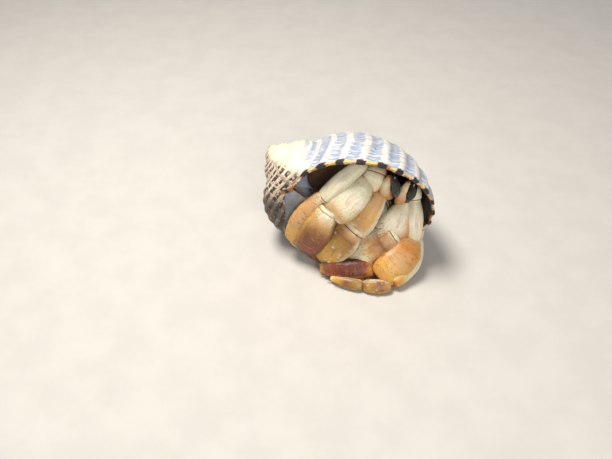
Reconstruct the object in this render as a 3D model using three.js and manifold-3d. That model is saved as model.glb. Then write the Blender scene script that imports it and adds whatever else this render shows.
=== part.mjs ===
// A land hermit crab half drawn into the ribbed shell of a sea snail, life size.
// Millimetres, +Z up. The crab looks along -Y, and the tip of its shell points to -X, back and up.
// The shell is a spiral sweep. Every segment of the crab is a closed loft of named size, and each
// one is trimmed back from the pieces that were set before it, so neighbours never touch.

import * as THREE from 'three';
import Module from 'manifold-3d';

const wasm = await Module();
wasm.setup();

// ---------------------------------------------------------------- driving dimensions

const GAP = 0.12;                 // clear space between neighbouring pieces
const FINEST = 0.04;              // details finer than this are closed up in the crab's pieces,
const FINEST_SHELL = 0.08;        // and in the shell
const FLOOR = 0;                  // level of the ground in the modelling frame

const APEX = [-13.2, -0.9, 16.3];              // tip of the spire
const APEX_DIRECTION = [-0.735, 0.328, 0.594];  // along the shell's axis, towards the tip
const LIP_DIRECTION = [0.587, -0.132, 0.799];   // from the axis towards the middle of the outer lip

const WHORL_GROWTH = 2.26;        // how much the shell grows in one full turn
const WHORL_HALF_WIDTH = 8.7;     // of the last whorl's section, across the axis
const WHORL_HALF_HEIGHT = 11.0;   // of the last whorl's section, along the axis
const WHORL_RADIUS = 6.1;         // from the axis to the middle of the section
const WHORL_DROP = 15.9;          // from the tip down the axis to the middle of the section
const WHORL_LEAN = 0.37;          // radians that the section leans
const WHORL_TURNS = 3.3;          // turns from the mouth back to the tip
const SPIRE_LIFT = 0.8;           // extra height of the spire above a plain spiral
const AXIS_CLEARANCE = 0.06;      // nearest that a section comes to the axis
const PILLAR_RADIUS = 0.5;        // of the rod that fills the middle of the spiral
const PILLAR_SIDES = 12;
const PILLAR_SPAN = [-22, 0];     // its lower and upper end, up the axis from the tip
const CHAMBER_PILLAR_SPAN = [-21, -10];   // the part of the rod left open in the living chamber

const CORDS = 24;                 // spiral ribs round one section
const CORD_HEIGHT = 0.28;
const WALL = 0.9;                 // thickness of the shell,
const FLOOR_WALL = 0.5;           // and where it is worn flat underneath

const MOUTH_OFFSET = 3.4;         // the flat mouth lies this far before the axis,
const MOUTH_LEVEL = 12;           // measured this far down from the tip
const MOUTH_SLOPE = 0.33;         // and turns away from the axis by this slope,
const MOUTH_TILT = 0.07;          // and by this one towards the outer lip
const MOUTH_SWEEP = 75;           // degrees that the sweep runs on past the mouth before it is cut
const CHAMBER_DEPTH = 165;        // degrees that the living chamber runs back into the shell
const BULGE_START = -3.0;         // the base swells freely up to here behind the mouth,
const BULGE_LIMIT = 0.6;          // and flattens out this far before it
const HALF_TURN = 90;             // degrees back from which the base is flattened, not cut
const SPIRE_START = 300;          // degrees back to where the spire's sections begin
const SPIRE_LIFT_START = 180;     // degrees back to where the spire begins to lift
const SWEEP_STEP = 15;            // degrees between sections near the mouth
const SPIRE_STEP = 30;            // degrees between sections of the spire

const LOFT_RINGS = 6;             // sections of one limb segment
const LOFT_SIDES = 8;             // corners of each section
const END_SQUARENESS = 4.5;       // how blunt the ends of a segment are
const SECTION_SQUARENESS = 2.5;   // 2 is an ellipse, more is boxier

const COLOURS = {
  shell: 0xcfd0cf,
  cream: 0xe6dcb9,
  orange: 0xd79545,
  ochre: 0xcfae66,
  rust: 0xb05a2e,
  body: 0xc49a74,
  stalk: 0xd9a882,
  eye: 0x1d1418,
};

const DEGREE = Math.PI / 180;

// ---------------------------------------------------------------- meshes and solids

function vector(list) {
  return new THREE.Vector3(...list);
}

// Closes a row of rings, each with the same number of points, into one solid.
function solidFromRings(rings, startPoint, endPoint) {
  const sides = rings[0].length;
  const points = rings.flat();
  const start = points.length;
  const end = start + 1;
  const triangles = [];
  points.push(startPoint, endPoint);
  for (let side = 0; side < sides; side += 1) {
    const next = (side + 1) % sides;
    triangles.push(start, side, next);
    for (let ring = 0; ring + 1 < rings.length; ring += 1) {
      const here = ring * sides;
      const there = here + sides;
      triangles.push(here + side, there + next, here + next);
      triangles.push(here + side, there + side, there + next);
    }
    const last = (rings.length - 1) * sides;
    triangles.push(end, last + next, last + side);
  }
  const mesh = new wasm.Mesh({
    numProp: 3,
    vertProperties: new Float32Array(points.flatMap((point) => point.toArray())),
    triVerts: new Uint32Array(triangles),
  });
  return new wasm.Manifold(mesh);
}

function ringCentre(ring) {
  const centre = new THREE.Vector3();
  ring.forEach((point) => centre.add(point));
  return centre.divideScalar(ring.length);
}

// The same solid with its finest edges closed up.
function cleaned(solid, finest) {
  return solid.asOriginal().simplify(finest).simplify(finest);
}

// The largest connected body of a solid, without the slivers that a cut can leave.
function largestBody(solid) {
  return solid.decompose().reduce((best, body) => (body.volume() > best.volume() ? body : best));
}

function boxOf(solid) {
  const { min, max } = solid.boundingBox();
  return new THREE.Box3(vector(min), vector(max));
}

function geometryFromSolid(solid) {
  const mesh = solid.getMesh();
  const geometry = new THREE.BufferGeometry();
  geometry.setAttribute('position', new THREE.BufferAttribute(new Float32Array(mesh.vertProperties), 3));
  geometry.setIndex(new THREE.BufferAttribute(new Uint32Array(mesh.triVerts), 1));
  geometry.computeVertexNormals();
  return geometry;
}

// ---------------------------------------------------------------- the shell

const apex = vector(APEX);
const axisUp = vector(APEX_DIRECTION).normalize();
const lipWay = vector(LIP_DIRECTION).addScaledVector(axisUp, -vector(LIP_DIRECTION).dot(axisUp)).normalize();
const backWay = new THREE.Vector3().crossVectors(axisUp, lipWay);

// A point of the shell's own frame: across towards the lip, back, and up the axis from the tip.
function shellPoint(across, back, up) {
  return apex.clone()
    .addScaledVector(lipWay, across)
    .addScaledVector(backWay, back)
    .addScaledVector(axisUp, up);
}

// The closed section of the last whorl, as distances from the axis and heights below the tip.
function whorlSection(sides, grow, ribbed) {
  const section = [];
  for (let side = 0; side < sides; side += 1) {
    const angle = (2 * Math.PI * side) / sides;
    const rib = ribbed && side % 2 === 0 ? CORD_HEIGHT : 0;
    const across = (WHORL_HALF_WIDTH + grow + rib) * Math.cos(angle);
    const along = (WHORL_HALF_HEIGHT + grow + rib) * Math.sin(angle);
    const radius = WHORL_RADIUS + across * Math.cos(WHORL_LEAN) - along * Math.sin(WHORL_LEAN);
    const height = -WHORL_DROP + across * Math.sin(WHORL_LEAN) + along * Math.cos(WHORL_LEAN);
    section.push([Math.max(radius, AXIS_CLEARANCE), height]);
  }
  return section;
}

// The section carried back round the spiral by a turn in degrees, shrinking as it goes.
function whorlRing(section, turn) {
  const angle = turn * DEGREE;
  const size = WHORL_GROWTH ** (-turn / 360);
  const lift = SPIRE_LIFT * (1 - WHORL_GROWTH ** (-Math.max(turn - SPIRE_LIFT_START, 0) / 360));
  return section.map(([radius, height]) => shellPoint(
    size * radius * Math.cos(angle),
    size * radius * Math.sin(angle),
    size * height + lift,
  ));
}

function sweep(section, turns, limit = Infinity) {
  const rings = turns.map((turn) => whorlRing(section, turn).map((point) => flattened(point, limit)));
  const chunks = [];
  for (let index = 0; index + 1 < rings.length; index += 1) {
    const pair = [rings[index], rings[index + 1]];
    chunks.push(solidFromRings(pair, ringCentre(pair[0]), ringCentre(pair[1])));
  }
  return wasm.Manifold.union(chunks);
}

// A straight rod on the axis between two heights, which fills the middle of a sweep.
function pillar([low, high]) {
  const ringAt = (up) => Array.from({ length: PILLAR_SIDES }, (_, side) => {
    const angle = (-2 * Math.PI * side) / PILLAR_SIDES;
    return shellPoint(PILLAR_RADIUS * Math.cos(angle), PILLAR_RADIUS * Math.sin(angle), up);
  });
  return solidFromRings([ringAt(low), ringAt(high)], shellPoint(0, 0, low), shellPoint(0, 0, high));
}

function turnsBetween(first, last, step) {
  const count = Math.round((last - first) / step);
  return Array.from({ length: count + 1 }, (_, index) => first + index * step);
}

const mouthNormal = backWay.clone()
  .addScaledVector(axisUp, MOUTH_SLOPE)
  .addScaledVector(lipWay, MOUTH_TILT)
  .normalize();
const mouthPoint = shellPoint(0, -MOUTH_OFFSET, -MOUTH_LEVEL);

// Keeps what lies behind the flat mouth, which may be moved forward.
function behindMouth(solid, forward) {
  return solid.trimByPlane(mouthNormal.toArray(), mouthNormal.dot(mouthPoint) - forward);
}

// Presses a point of the base back, so that it never stands further forward than the limit.
function flattened(point, limit) {
  const forward = mouthNormal.dot(mouthPoint) - mouthNormal.dot(point);
  if (forward < BULGE_START || limit === Infinity) return point;
  const room = limit - BULGE_START;
  const pressed = BULGE_START + room * Math.tanh((forward - BULGE_START) / room);
  return point.clone().addScaledVector(mouthNormal, forward - pressed);
}

function aboveFloor(solid, lift = 0) {
  return solid.trimByPlane([0, 0, 1], FLOOR + lift);
}

// The whole shell, made thicker on every side by the given amount.
function shellSolid(grow) {
  const section = whorlSection(2 * CORDS, grow, true);
  const mouthPart = behindMouth(sweep(section, turnsBetween(-MOUTH_SWEEP, HALF_TURN, SWEEP_STEP)), grow);
  const backTurns = [
    ...turnsBetween(HALF_TURN, SPIRE_START, SWEEP_STEP),
    ...turnsBetween(SPIRE_START + SPIRE_STEP, WHORL_TURNS * 360, SPIRE_STEP),
  ];
  const backPart = sweep(section, backTurns, BULGE_LIMIT + grow);
  const inner = whorlSection(CORDS, -WALL - grow, false);
  const chamber = aboveFloor(
    sweep(inner, turnsBetween(-MOUTH_SWEEP, CHAMBER_DEPTH, SWEEP_STEP)),
    FLOOR_WALL + grow,
  );
  const core = chamber.add(pillar(CHAMBER_PILLAR_SPAN)).add(segmentSolid(SHELF_NOTCH, -grow));
  return mouthPart.add(backPart).add(pillar(PILLAR_SPAN)).subtract(core);
}

// ---------------------------------------------------------------- the crab

// A closed segment along a path. Widths and depths are given from start to end, the width across
// the way the segment faces and the depth along it.
function segmentSolid(shape, grow) {
  const path = new THREE.CatmullRomCurve3(shape.path.map(vector));
  const facing = vector(shape.facing ?? [0, -0.8, 0.6]);
  const rings = [];
  for (let ring = 0; ring < LOFT_RINGS; ring += 1) {
    const along = 0.5 - 0.5 * Math.cos((Math.PI * (ring + 0.5)) / LOFT_RINGS);
    const tangent = path.getTangent(along);
    const normal = facing.clone().addScaledVector(tangent, -facing.dot(tangent)).normalize();
    const side = new THREE.Vector3().crossVectors(tangent, normal);
    const blunt = (1 - Math.abs(2 * along - 1) ** END_SQUARENESS) ** (1 / END_SQUARENESS);
    const halfWidth = (profileAt(shape.width, along) * blunt) / 2 + grow;
    const halfDepth = (profileAt(shape.depth, along) * blunt) / 2 + grow;
    const centre = path.getPoint(along).addScaledVector(tangent, (2 * along - 1) * grow);
    rings.push(sectionRing(centre, side, normal, halfWidth, halfDepth));
  }
  const startPoint = path.getPoint(0).addScaledVector(path.getTangent(0), -grow);
  const endPoint = path.getPoint(1).addScaledVector(path.getTangent(1), grow);
  return solidFromRings(rings, startPoint, endPoint);
}

function profileAt(values, along) {
  const place = along * (values.length - 1);
  const index = Math.min(Math.floor(place), values.length - 2);
  return THREE.MathUtils.lerp(values[index], values[index + 1], place - index);
}

function sectionRing(centre, side, normal, halfWidth, halfDepth) {
  const ring = [];
  const power = 2 / SECTION_SQUARENESS;
  for (let corner = 0; corner < LOFT_SIDES; corner += 1) {
    const angle = (2 * Math.PI * (corner + 0.5)) / LOFT_SIDES;
    const across = Math.sign(Math.cos(angle)) * Math.abs(Math.cos(angle)) ** power;
    const out = Math.sign(Math.sin(angle)) * Math.abs(Math.sin(angle)) ** power;
    ring.push(centre.clone()
      .addScaledVector(side, across * halfWidth)
      .addScaledVector(normal, out * halfDepth));
  }
  return ring;
}

// Room behind the claws, hollowed out of the inner shelf of the shell.
const SHELF_NOTCH = {
  path: [[-6.4, -7.6, 3.4], [1.0, -7.4, 4.2], [8.6, -7.4, 5.0]],
  width: [4.0, 5.6, 5.0],
  depth: [3.6, 4.8, 4.0],
};

// The segments, those that show in front first, since each gives way to the ones before it.
const SEGMENTS = [
  // second right walking leg, broad and flat
  { name: 'second_leg_right_merus', colour: 'cream',
    path: [[2.1, -8.3, 15.8], [-0.8, -9.8, 13.2], [-3.7, -10.5, 10.4]],
    width: [3.6, 5.2, 5.4, 4.8], depth: [2.4, 2.9, 3.0, 2.6] },
  { name: 'second_leg_right_carpus', colour: 'rust',
    path: [[-3.6, -10.4, 12.1], [-6.0, -10.6, 7.4], [-7.4, -9.3, 2.1]],
    width: [3.6, 5.4, 5.8, 5.0], depth: [2.4, 3.1, 3.1, 2.6], facing: [-0.25, -0.85, 0.45] },
  { name: 'second_leg_right_ischium', colour: 'cream',
    path: [[3.5, -6.0, 16.9], [3.1, -7.7, 16.2], [1.9, -8.6, 14.0]],
    width: [3.0, 3.6, 3.0], depth: [2.4, 2.6, 2.2] },
  // third right walking leg, narrow, against the lip
  { name: 'third_leg_right_merus', colour: 'cream',
    path: [[1.6, -7.0, 18.3], [-1.9, -8.7, 15.9], [-5.0, -9.2, 12.7]],
    width: [2.4, 2.9, 2.7], depth: [2.2, 2.5, 2.3], facing: [-0.3, -0.7, 0.6] },
  { name: 'third_leg_right_carpus', colour: 'ochre',
    path: [[-4.6, -9.0, 13.6], [-8.2, -9.4, 9.2], [-9.9, -8.7, 4.2]],
    width: [2.4, 2.8, 2.9, 2.5], depth: [2.2, 2.5, 2.3], facing: [-0.4, -0.8, 0.4] },
  // right claw arm
  { name: 'cheliped_right_merus', colour: 'orange',
    path: [[4.6, -7.8, 13.7], [1.9, -9.6, 10.5], [-0.5, -10.7, 7.6]],
    width: [2.2, 4.2, 5.4, 5.2], depth: [2.6, 3.0, 3.2, 2.8] },
  { name: 'cheliped_right_carpus', colour: 'ochre',
    path: [[0.6, -10.9, 9.0], [-2.3, -11.4, 5.4], [-5.1, -10.9, 1.8]],
    width: [4.0, 5.4, 5.4, 4.2], depth: [2.6, 3.2, 3.2, 2.4] },
  // second left walking leg, folded at the knee onto the ground
  { name: 'second_leg_left_merus', colour: 'cream',
    path: [[9.3, -8.1, 12.6], [9.6, -9.6, 9.0], [9.5, -10.3, 4.8]],
    width: [2.2, 2.8, 2.9], depth: [2.6, 3.2, 3.0], facing: [0.1, -0.9, 0.3] },
  { name: 'second_leg_left_carpus', colour: 'orange',
    path: [[9.7, -10.4, 5.9], [7.6, -13.1, 3.9], [3.9, -15.2, 1.6]],
    width: [3.4, 5.2, 5.6, 5.0], depth: [2.6, 3.4, 3.4, 3.0], facing: [0.25, -0.7, 0.65] },
  { name: 'second_leg_left_propodus', colour: 'rust',
    path: [[3.6, -13.6, 2.1], [-0.8, -13.4, 1.8], [-5.1, -12.5, 1.2]],
    width: [2.8, 3.4, 3.1, 2.0], depth: [2.6, 3.0, 2.8, 1.9], facing: [0, -0.7, 0.7] },
  // third left walking leg, just outside the second
  { name: 'third_leg_left_carpus', colour: 'cream',
    path: [[10.6, -9.2, 4.9], [9.4, -12.7, 2.6], [6.2, -16.1, 1.2]],
    width: [2.6, 3.6, 3.4, 2.6], depth: [2.2, 2.8, 2.6], facing: [0.6, -0.6, 0.2] },
  { name: 'third_leg_left_propodus', colour: 'orange',
    path: [[6.0, -16.4, 1.0], [3.8, -16.5, 1.0], [1.5, -16.2, 0.9]],
    width: [2.0, 2.3, 2.0], depth: [1.7, 2.0, 1.8], facing: [0, -0.7, 0.7] },
  { name: 'third_leg_left_dactyl', colour: 'orange',
    path: [[1.6, -16.2, 0.9], [-0.8, -15.6, 0.9], [-3.5, -14.4, 0.8]],
    width: [1.9, 1.8, 1.0], depth: [1.7, 1.6, 1.0], facing: [0, -0.7, 0.7] },
  // left claw arm
  { name: 'cheliped_left_merus', colour: 'cream',
    path: [[8.8, -7.6, 12.0], [7.3, -9.3, 9.2], [5.5, -10.4, 6.1]],
    width: [1.8, 3.8, 5.6, 5.8], depth: [2.6, 3.0, 3.2, 2.8] },
  { name: 'cheliped_left_carpus', colour: 'ochre',
    path: [[7.0, -10.7, 7.3], [3.4, -11.4, 4.9], [-0.7, -11.4, 2.4]],
    width: [4.0, 5.4, 5.6, 4.6], depth: [2.6, 3.3, 3.3, 2.6] },
  { name: 'second_leg_left_ischium', colour: 'cream',
    path: [[9.2, -7.6, 14.4], [9.5, -8.8, 12.0]],
    width: [1.9, 2.3, 2.1], depth: [2.0, 2.4, 2.2], facing: [0.1, -0.9, 0.3] },
  { name: 'third_leg_left_merus', colour: 'cream',
    path: [[9.6, -6.0, 10.6], [10.3, -7.6, 7.0], [10.3, -9.0, 3.6]],
    width: [2.0, 2.6, 2.6], depth: [2.4, 2.8, 2.6], facing: [0.5, -0.8, 0.1] },
  // eyes
  { name: 'cornea_right', colour: 'eye',
    path: [[6.3, -8.9, 13.0], [6.1, -9.9, 15.4], [5.7, -9.7, 17.9]],
    width: [1.0, 1.7, 1.2], depth: [1.2, 1.6, 1.1], facing: [0.5, -0.8, 0.3] },
  { name: 'cornea_left', colour: 'eye',
    path: [[7.8, -9.2, 12.4], [8.5, -9.9, 14.4], [8.9, -9.6, 16.5]],
    width: [0.8, 1.6, 1.2], depth: [1.2, 1.6, 1.1], facing: [0.5, -0.8, 0.3] },
  { name: 'eyestalk_right', colour: 'stalk',
    path: [[5.9, -7.6, 12.0], [4.8, -9.0, 14.3], [5.2, -9.3, 17.3]],
    width: [1.6, 2.2, 1.3], depth: [1.4, 1.7, 1.2], facing: [0.2, -0.9, 0.3] },
  { name: 'eyestalk_left', colour: 'stalk',
    path: [[7.0, -8.0, 11.0], [7.6, -9.3, 13.6], [8.5, -9.2, 16.2]],
    width: [1.5, 2.6, 1.8], depth: [1.4, 1.7, 1.2], facing: [0.2, -0.9, 0.3] },
  // feelers, laid back into the mouth of the shell
  { name: 'antenna_base_right', colour: 'body',
    path: [[4.0, -5.6, 12.6], [4.2, -7.2, 11.6], [4.6, -8.0, 10.7]],
    width: [1.3, 1.4, 1.0], depth: [1.3, 1.4, 1.0] },
  { name: 'antenna_base_left', colour: 'body',
    path: [[8.0, -5.4, 10.2], [7.9, -7.0, 10.0], [7.6, -8.2, 9.8]],
    width: [1.3, 1.3, 1.0], depth: [1.3, 1.3, 1.0] },
  { name: 'antennule_right', colour: 'body',
    path: [[5.5, -6.2, 12.0], [5.2, -7.6, 11.1], [5.5, -8.2, 9.6]],
    width: [0.7, 0.8, 0.6], depth: [0.7, 0.8, 0.6] },
  { name: 'antennule_left', colour: 'body',
    path: [[6.8, -6.2, 11.2], [6.9, -7.6, 10.4], [6.6, -8.4, 9.0]],
    width: [0.7, 0.8, 0.6], depth: [0.7, 0.8, 0.6] },
  // mouthparts
  { name: 'maxilliped_right', colour: 'cream',
    path: [[3.9, -6.2, 11.6], [4.6, -8.2, 10.4], [4.9, -9.2, 8.6]],
    width: [1.5, 1.9, 1.2], depth: [1.3, 1.5, 1.0] },
  { name: 'maxilliped_left', colour: 'cream',
    path: [[6.2, -6.2, 10.6], [6.5, -8.4, 9.6], [5.9, -9.4, 8.0]],
    width: [1.5, 1.9, 1.2], depth: [1.3, 1.5, 1.0] },
  // what folds away beneath and behind: hands, fingers and leg tips
  { name: 'cheliped_right_palm', colour: 'ochre',
    path: [[-5.0, -9.0, 2.6], [-2.6, -7.7, 3.6], [0.2, -7.0, 4.4]],
    width: [2.4, 3.2, 3.0], depth: [1.8, 2.4, 2.2] },
  { name: 'cheliped_right_finger', colour: 'cream',
    path: [[0.2, -7.0, 4.6], [1.4, -6.8, 5.8], [1.8, -6.6, 7.6]],
    width: [2.2, 1.9, 0.9], depth: [1.5, 1.4, 0.8] },
  { name: 'cheliped_left_palm', colour: 'ochre',
    path: [[0.6, -8.7, 2.4], [3.4, -7.9, 3.2], [6.6, -7.3, 4.0]],
    width: [2.6, 3.8, 3.6], depth: [2.0, 2.6, 2.4] },
  { name: 'cheliped_left_finger', colour: 'cream',
    path: [[6.8, -7.1, 4.2], [7.9, -6.7, 5.4], [7.8, -6.3, 7.4]],
    width: [2.4, 2.0, 0.8], depth: [1.6, 1.5, 0.8] },
  { name: 'second_leg_right_propodus', colour: 'rust',
    path: [[-6.9, -9.2, 1.2], [-4.6, -9.4, 1.0], [-2.2, -9.4, 1.1]],
    width: [1.7, 2.0, 1.7], depth: [1.6, 1.9, 1.6] },
  { name: 'second_leg_right_dactyl', colour: 'orange',
    path: [[-2.2, -9.4, 1.1], [0.0, -9.8, 0.9], [2.4, -10.2, 0.6]],
    width: [1.5, 1.3, 0.6], depth: [1.5, 1.3, 0.6] },
  { name: 'third_leg_right_propodus', colour: 'ochre',
    path: [[-9.7, -8.3, 4.2], [-8.4, -8.2, 2.8], [-6.4, -7.8, 2.6]],
    width: [1.9, 2.1, 1.7], depth: [1.7, 1.9, 1.6] },
  { name: 'third_leg_right_dactyl', colour: 'orange',
    path: [[-6.2, -7.8, 2.8], [-4.8, -7.6, 4.4], [-3.8, -7.4, 6.6]],
    width: [1.5, 1.3, 0.7], depth: [1.5, 1.3, 0.7] },
  { name: 'second_leg_left_dactyl', colour: 'orange',
    path: [[-4.8, -12.0, 1.0], [-4.2, -11.2, 0.7], [-1.4, -10.9, 0.7]],
    width: [1.5, 1.4, 0.7], depth: [1.5, 1.4, 0.7] },
  // body
  { name: 'carapace', colour: 'body',
    path: [[6.8, -5.8, 13.0], [5.6, -2.6, 12.2], [3.6, 0.8, 11.2]],
    width: [3.4, 5.0, 5.4, 4.4], depth: [2.6, 3.4, 3.8, 3.0], facing: [0.5, 0.1, 0.86] },
  { name: 'thorax', colour: 'body',
    path: [[5.8, -5.2, 10.4], [4.0, -2.4, 9.6], [1.9, 0.8, 8.6]],
    width: [3.6, 5.8, 6.2, 4.8], depth: [3.0, 3.8, 4.0, 3.2], facing: [0.5, 0.1, 0.86] },
  { name: 'abdomen', colour: 'body',
    path: [[1.8, 1.4, 10.4], [-1.2, 3.6, 8.8], [-4.2, 3.4, 6.7], [-6.6, 1.4, 5.4], [-7.8, -1.0, 5.4]],
    width: [5.2, 6.2, 5.4, 4.2, 2.4], depth: [5.0, 5.6, 5.0, 4.0, 2.4] },
  { name: 'antenna_whip_right', colour: 'rust',
    path: [[3.7, -5.2, 13.4], [2.6, -3.4, 16.2], [0.4, -0.8, 15.8], [-2.0, 1.2, 13.6]],
    width: [0.7, 0.65, 0.55], depth: [0.7, 0.65, 0.55] },
  { name: 'antenna_whip_left', colour: 'rust',
    path: [[8.4, -5.0, 10.4], [9.2, -3.2, 9.0], [7.9, -0.8, 7.0], [4.6, 1.2, 5.4]],
    width: [0.7, 0.65, 0.55], depth: [0.7, 0.65, 0.55] },
  { name: 'fourth_leg_right', colour: 'body',
    path: [[0.6, -1.2, 14.4], [-1.2, 0.2, 14.4], [-3.0, 1.8, 13.8]],
    width: [1.3, 1.5, 1.0], depth: [1.3, 1.5, 1.0] },
  { name: 'fourth_leg_left', colour: 'body',
    path: [[6.6, -1.0, 9.4], [6.6, 1.0, 8.3], [5.6, 3.0, 7.6]],
    width: [1.3, 1.5, 1.0], depth: [1.3, 1.5, 1.0] },
];

function material(colour) {
  return new THREE.MeshStandardMaterial({ color: COLOURS[colour], roughness: 0.45, metalness: 0 });
}

function named(name, colour, solid) {
  const mesh = new THREE.Mesh(geometryFromSolid(solid), material(colour));
  mesh.name = name;
  return mesh;
}

// ---------------------------------------------------------------- assembly

const crab = new THREE.Group();
const shell = largestBody(aboveFloor(cleaned(shellSolid(0), FINEST_SHELL)));
crab.add(named('shell', 'shell', shell));

const taken = [shellSolid(GAP)];
SEGMENTS.forEach((shape) => {
  const plain = segmentSolid(shape, 0);
  const near = taken.filter((other) => boxOf(other).intersectsBox(boxOf(plain)));
  const trimmed = largestBody(cleaned(wasm.Manifold.difference([plain, ...near]), FINEST));
  crab.add(named(shape.name, shape.colour, aboveFloor(trimmed)));
  taken.push(segmentSolid(shape, GAP));
});

// The model stands on the ground, with its origin under the middle of its outline.
const outline = new THREE.Box3().setFromObject(crab);
const middle = outline.getCenter(new THREE.Vector3());
crab.position.set(-middle.x, -middle.y, -outline.min.z);

export default crab;
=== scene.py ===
"""A land hermit crab half drawn into the ribbed shell of a sea snail, life size, in metres.

The shell is a spiral sweep with raised cords, cut open at the mouth and hollowed by the living
chamber. Every segment of the crab is a closed loft that carries its own granules, wrinkles and
rims, and the fine colours are painted by nodes that follow the length and width of each segment.
"""

import math

import bmesh
import bpy
import numpy as np
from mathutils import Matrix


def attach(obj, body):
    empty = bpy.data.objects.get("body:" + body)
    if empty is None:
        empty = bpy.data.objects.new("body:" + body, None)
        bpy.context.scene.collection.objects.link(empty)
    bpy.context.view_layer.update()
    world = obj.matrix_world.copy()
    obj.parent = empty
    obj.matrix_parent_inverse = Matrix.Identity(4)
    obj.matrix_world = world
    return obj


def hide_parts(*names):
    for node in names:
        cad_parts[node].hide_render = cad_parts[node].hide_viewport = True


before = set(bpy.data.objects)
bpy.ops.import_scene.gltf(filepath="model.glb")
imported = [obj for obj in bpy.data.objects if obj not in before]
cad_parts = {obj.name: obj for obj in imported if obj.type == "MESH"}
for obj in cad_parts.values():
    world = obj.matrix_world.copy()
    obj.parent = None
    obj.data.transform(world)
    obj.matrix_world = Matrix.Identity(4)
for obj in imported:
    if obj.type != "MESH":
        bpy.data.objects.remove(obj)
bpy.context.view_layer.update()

bl_info = {
    "name": "Hermit crab in its shell",
    "version": (1, 0, 0),
    "blender": (4, 5, 0),
    "location": "3D View > Sidebar > Hermit crab",
    "description": "Builds a still, life-size hermit crab resting in a ribbed sea snail shell",
    "category": "Object",
}

MM = 0.001
BODY = "root"

# ---------------------------------------------------------------- sizes of the spiral, in mm

ORIGIN_SHIFT = np.array((0.96752, 5.39769, 0.0))   # from the spiral's own frame to the frame's
APEX = np.array((-13.2, -0.9, 16.3))
APEX_DIRECTION = np.array((-0.735, 0.328, 0.594))
LIP_DIRECTION = np.array((0.587, -0.132, 0.799))
WHORL_GROWTH = 2.26
HALF_WIDTH = 8.7
HALF_HEIGHT = 11.0
WHORL_RADIUS = 6.1
WHORL_DROP = 15.9
WHORL_LEAN = 0.37
LAST_TURN = 1188
SPIRE_LIFT = 0.8
SPIRE_LIFT_START = 180
AXIS_CLEARANCE = 0.06
PILLAR_RADIUS = 0.5
MOUTH_OFFSET = 3.4
MOUTH_LEVEL = 12.0
MOUTH_SLOPE = 0.33
MOUTH_TILT = 0.07
MOUTH_SWEEP = 75
CHAMBER_DEPTH = 165
BULGE_START = -3.0
BULGE_LIMIT = 0.6
HALF_TURN = 90
WALL = 0.9
FLOOR_WALL = 0.5
CORD_SIDES = 10                                    # corners round one cord

AXIS_UP = APEX_DIRECTION / np.linalg.norm(APEX_DIRECTION)
LIP_WAY = LIP_DIRECTION - LIP_DIRECTION.dot(AXIS_UP) * AXIS_UP
LIP_WAY = LIP_WAY / np.linalg.norm(LIP_WAY)
BACK_WAY = np.cross(AXIS_UP, LIP_WAY)


class Segment:
    """One segment of the crab: its path in mm, its widths and depths, and the way that it faces."""

    def __init__(self, path, width, depth, facing):
        self.path = np.array(path, float)
        self.width = width
        self.depth = depth
        self.facing = np.array(facing, float)


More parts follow.
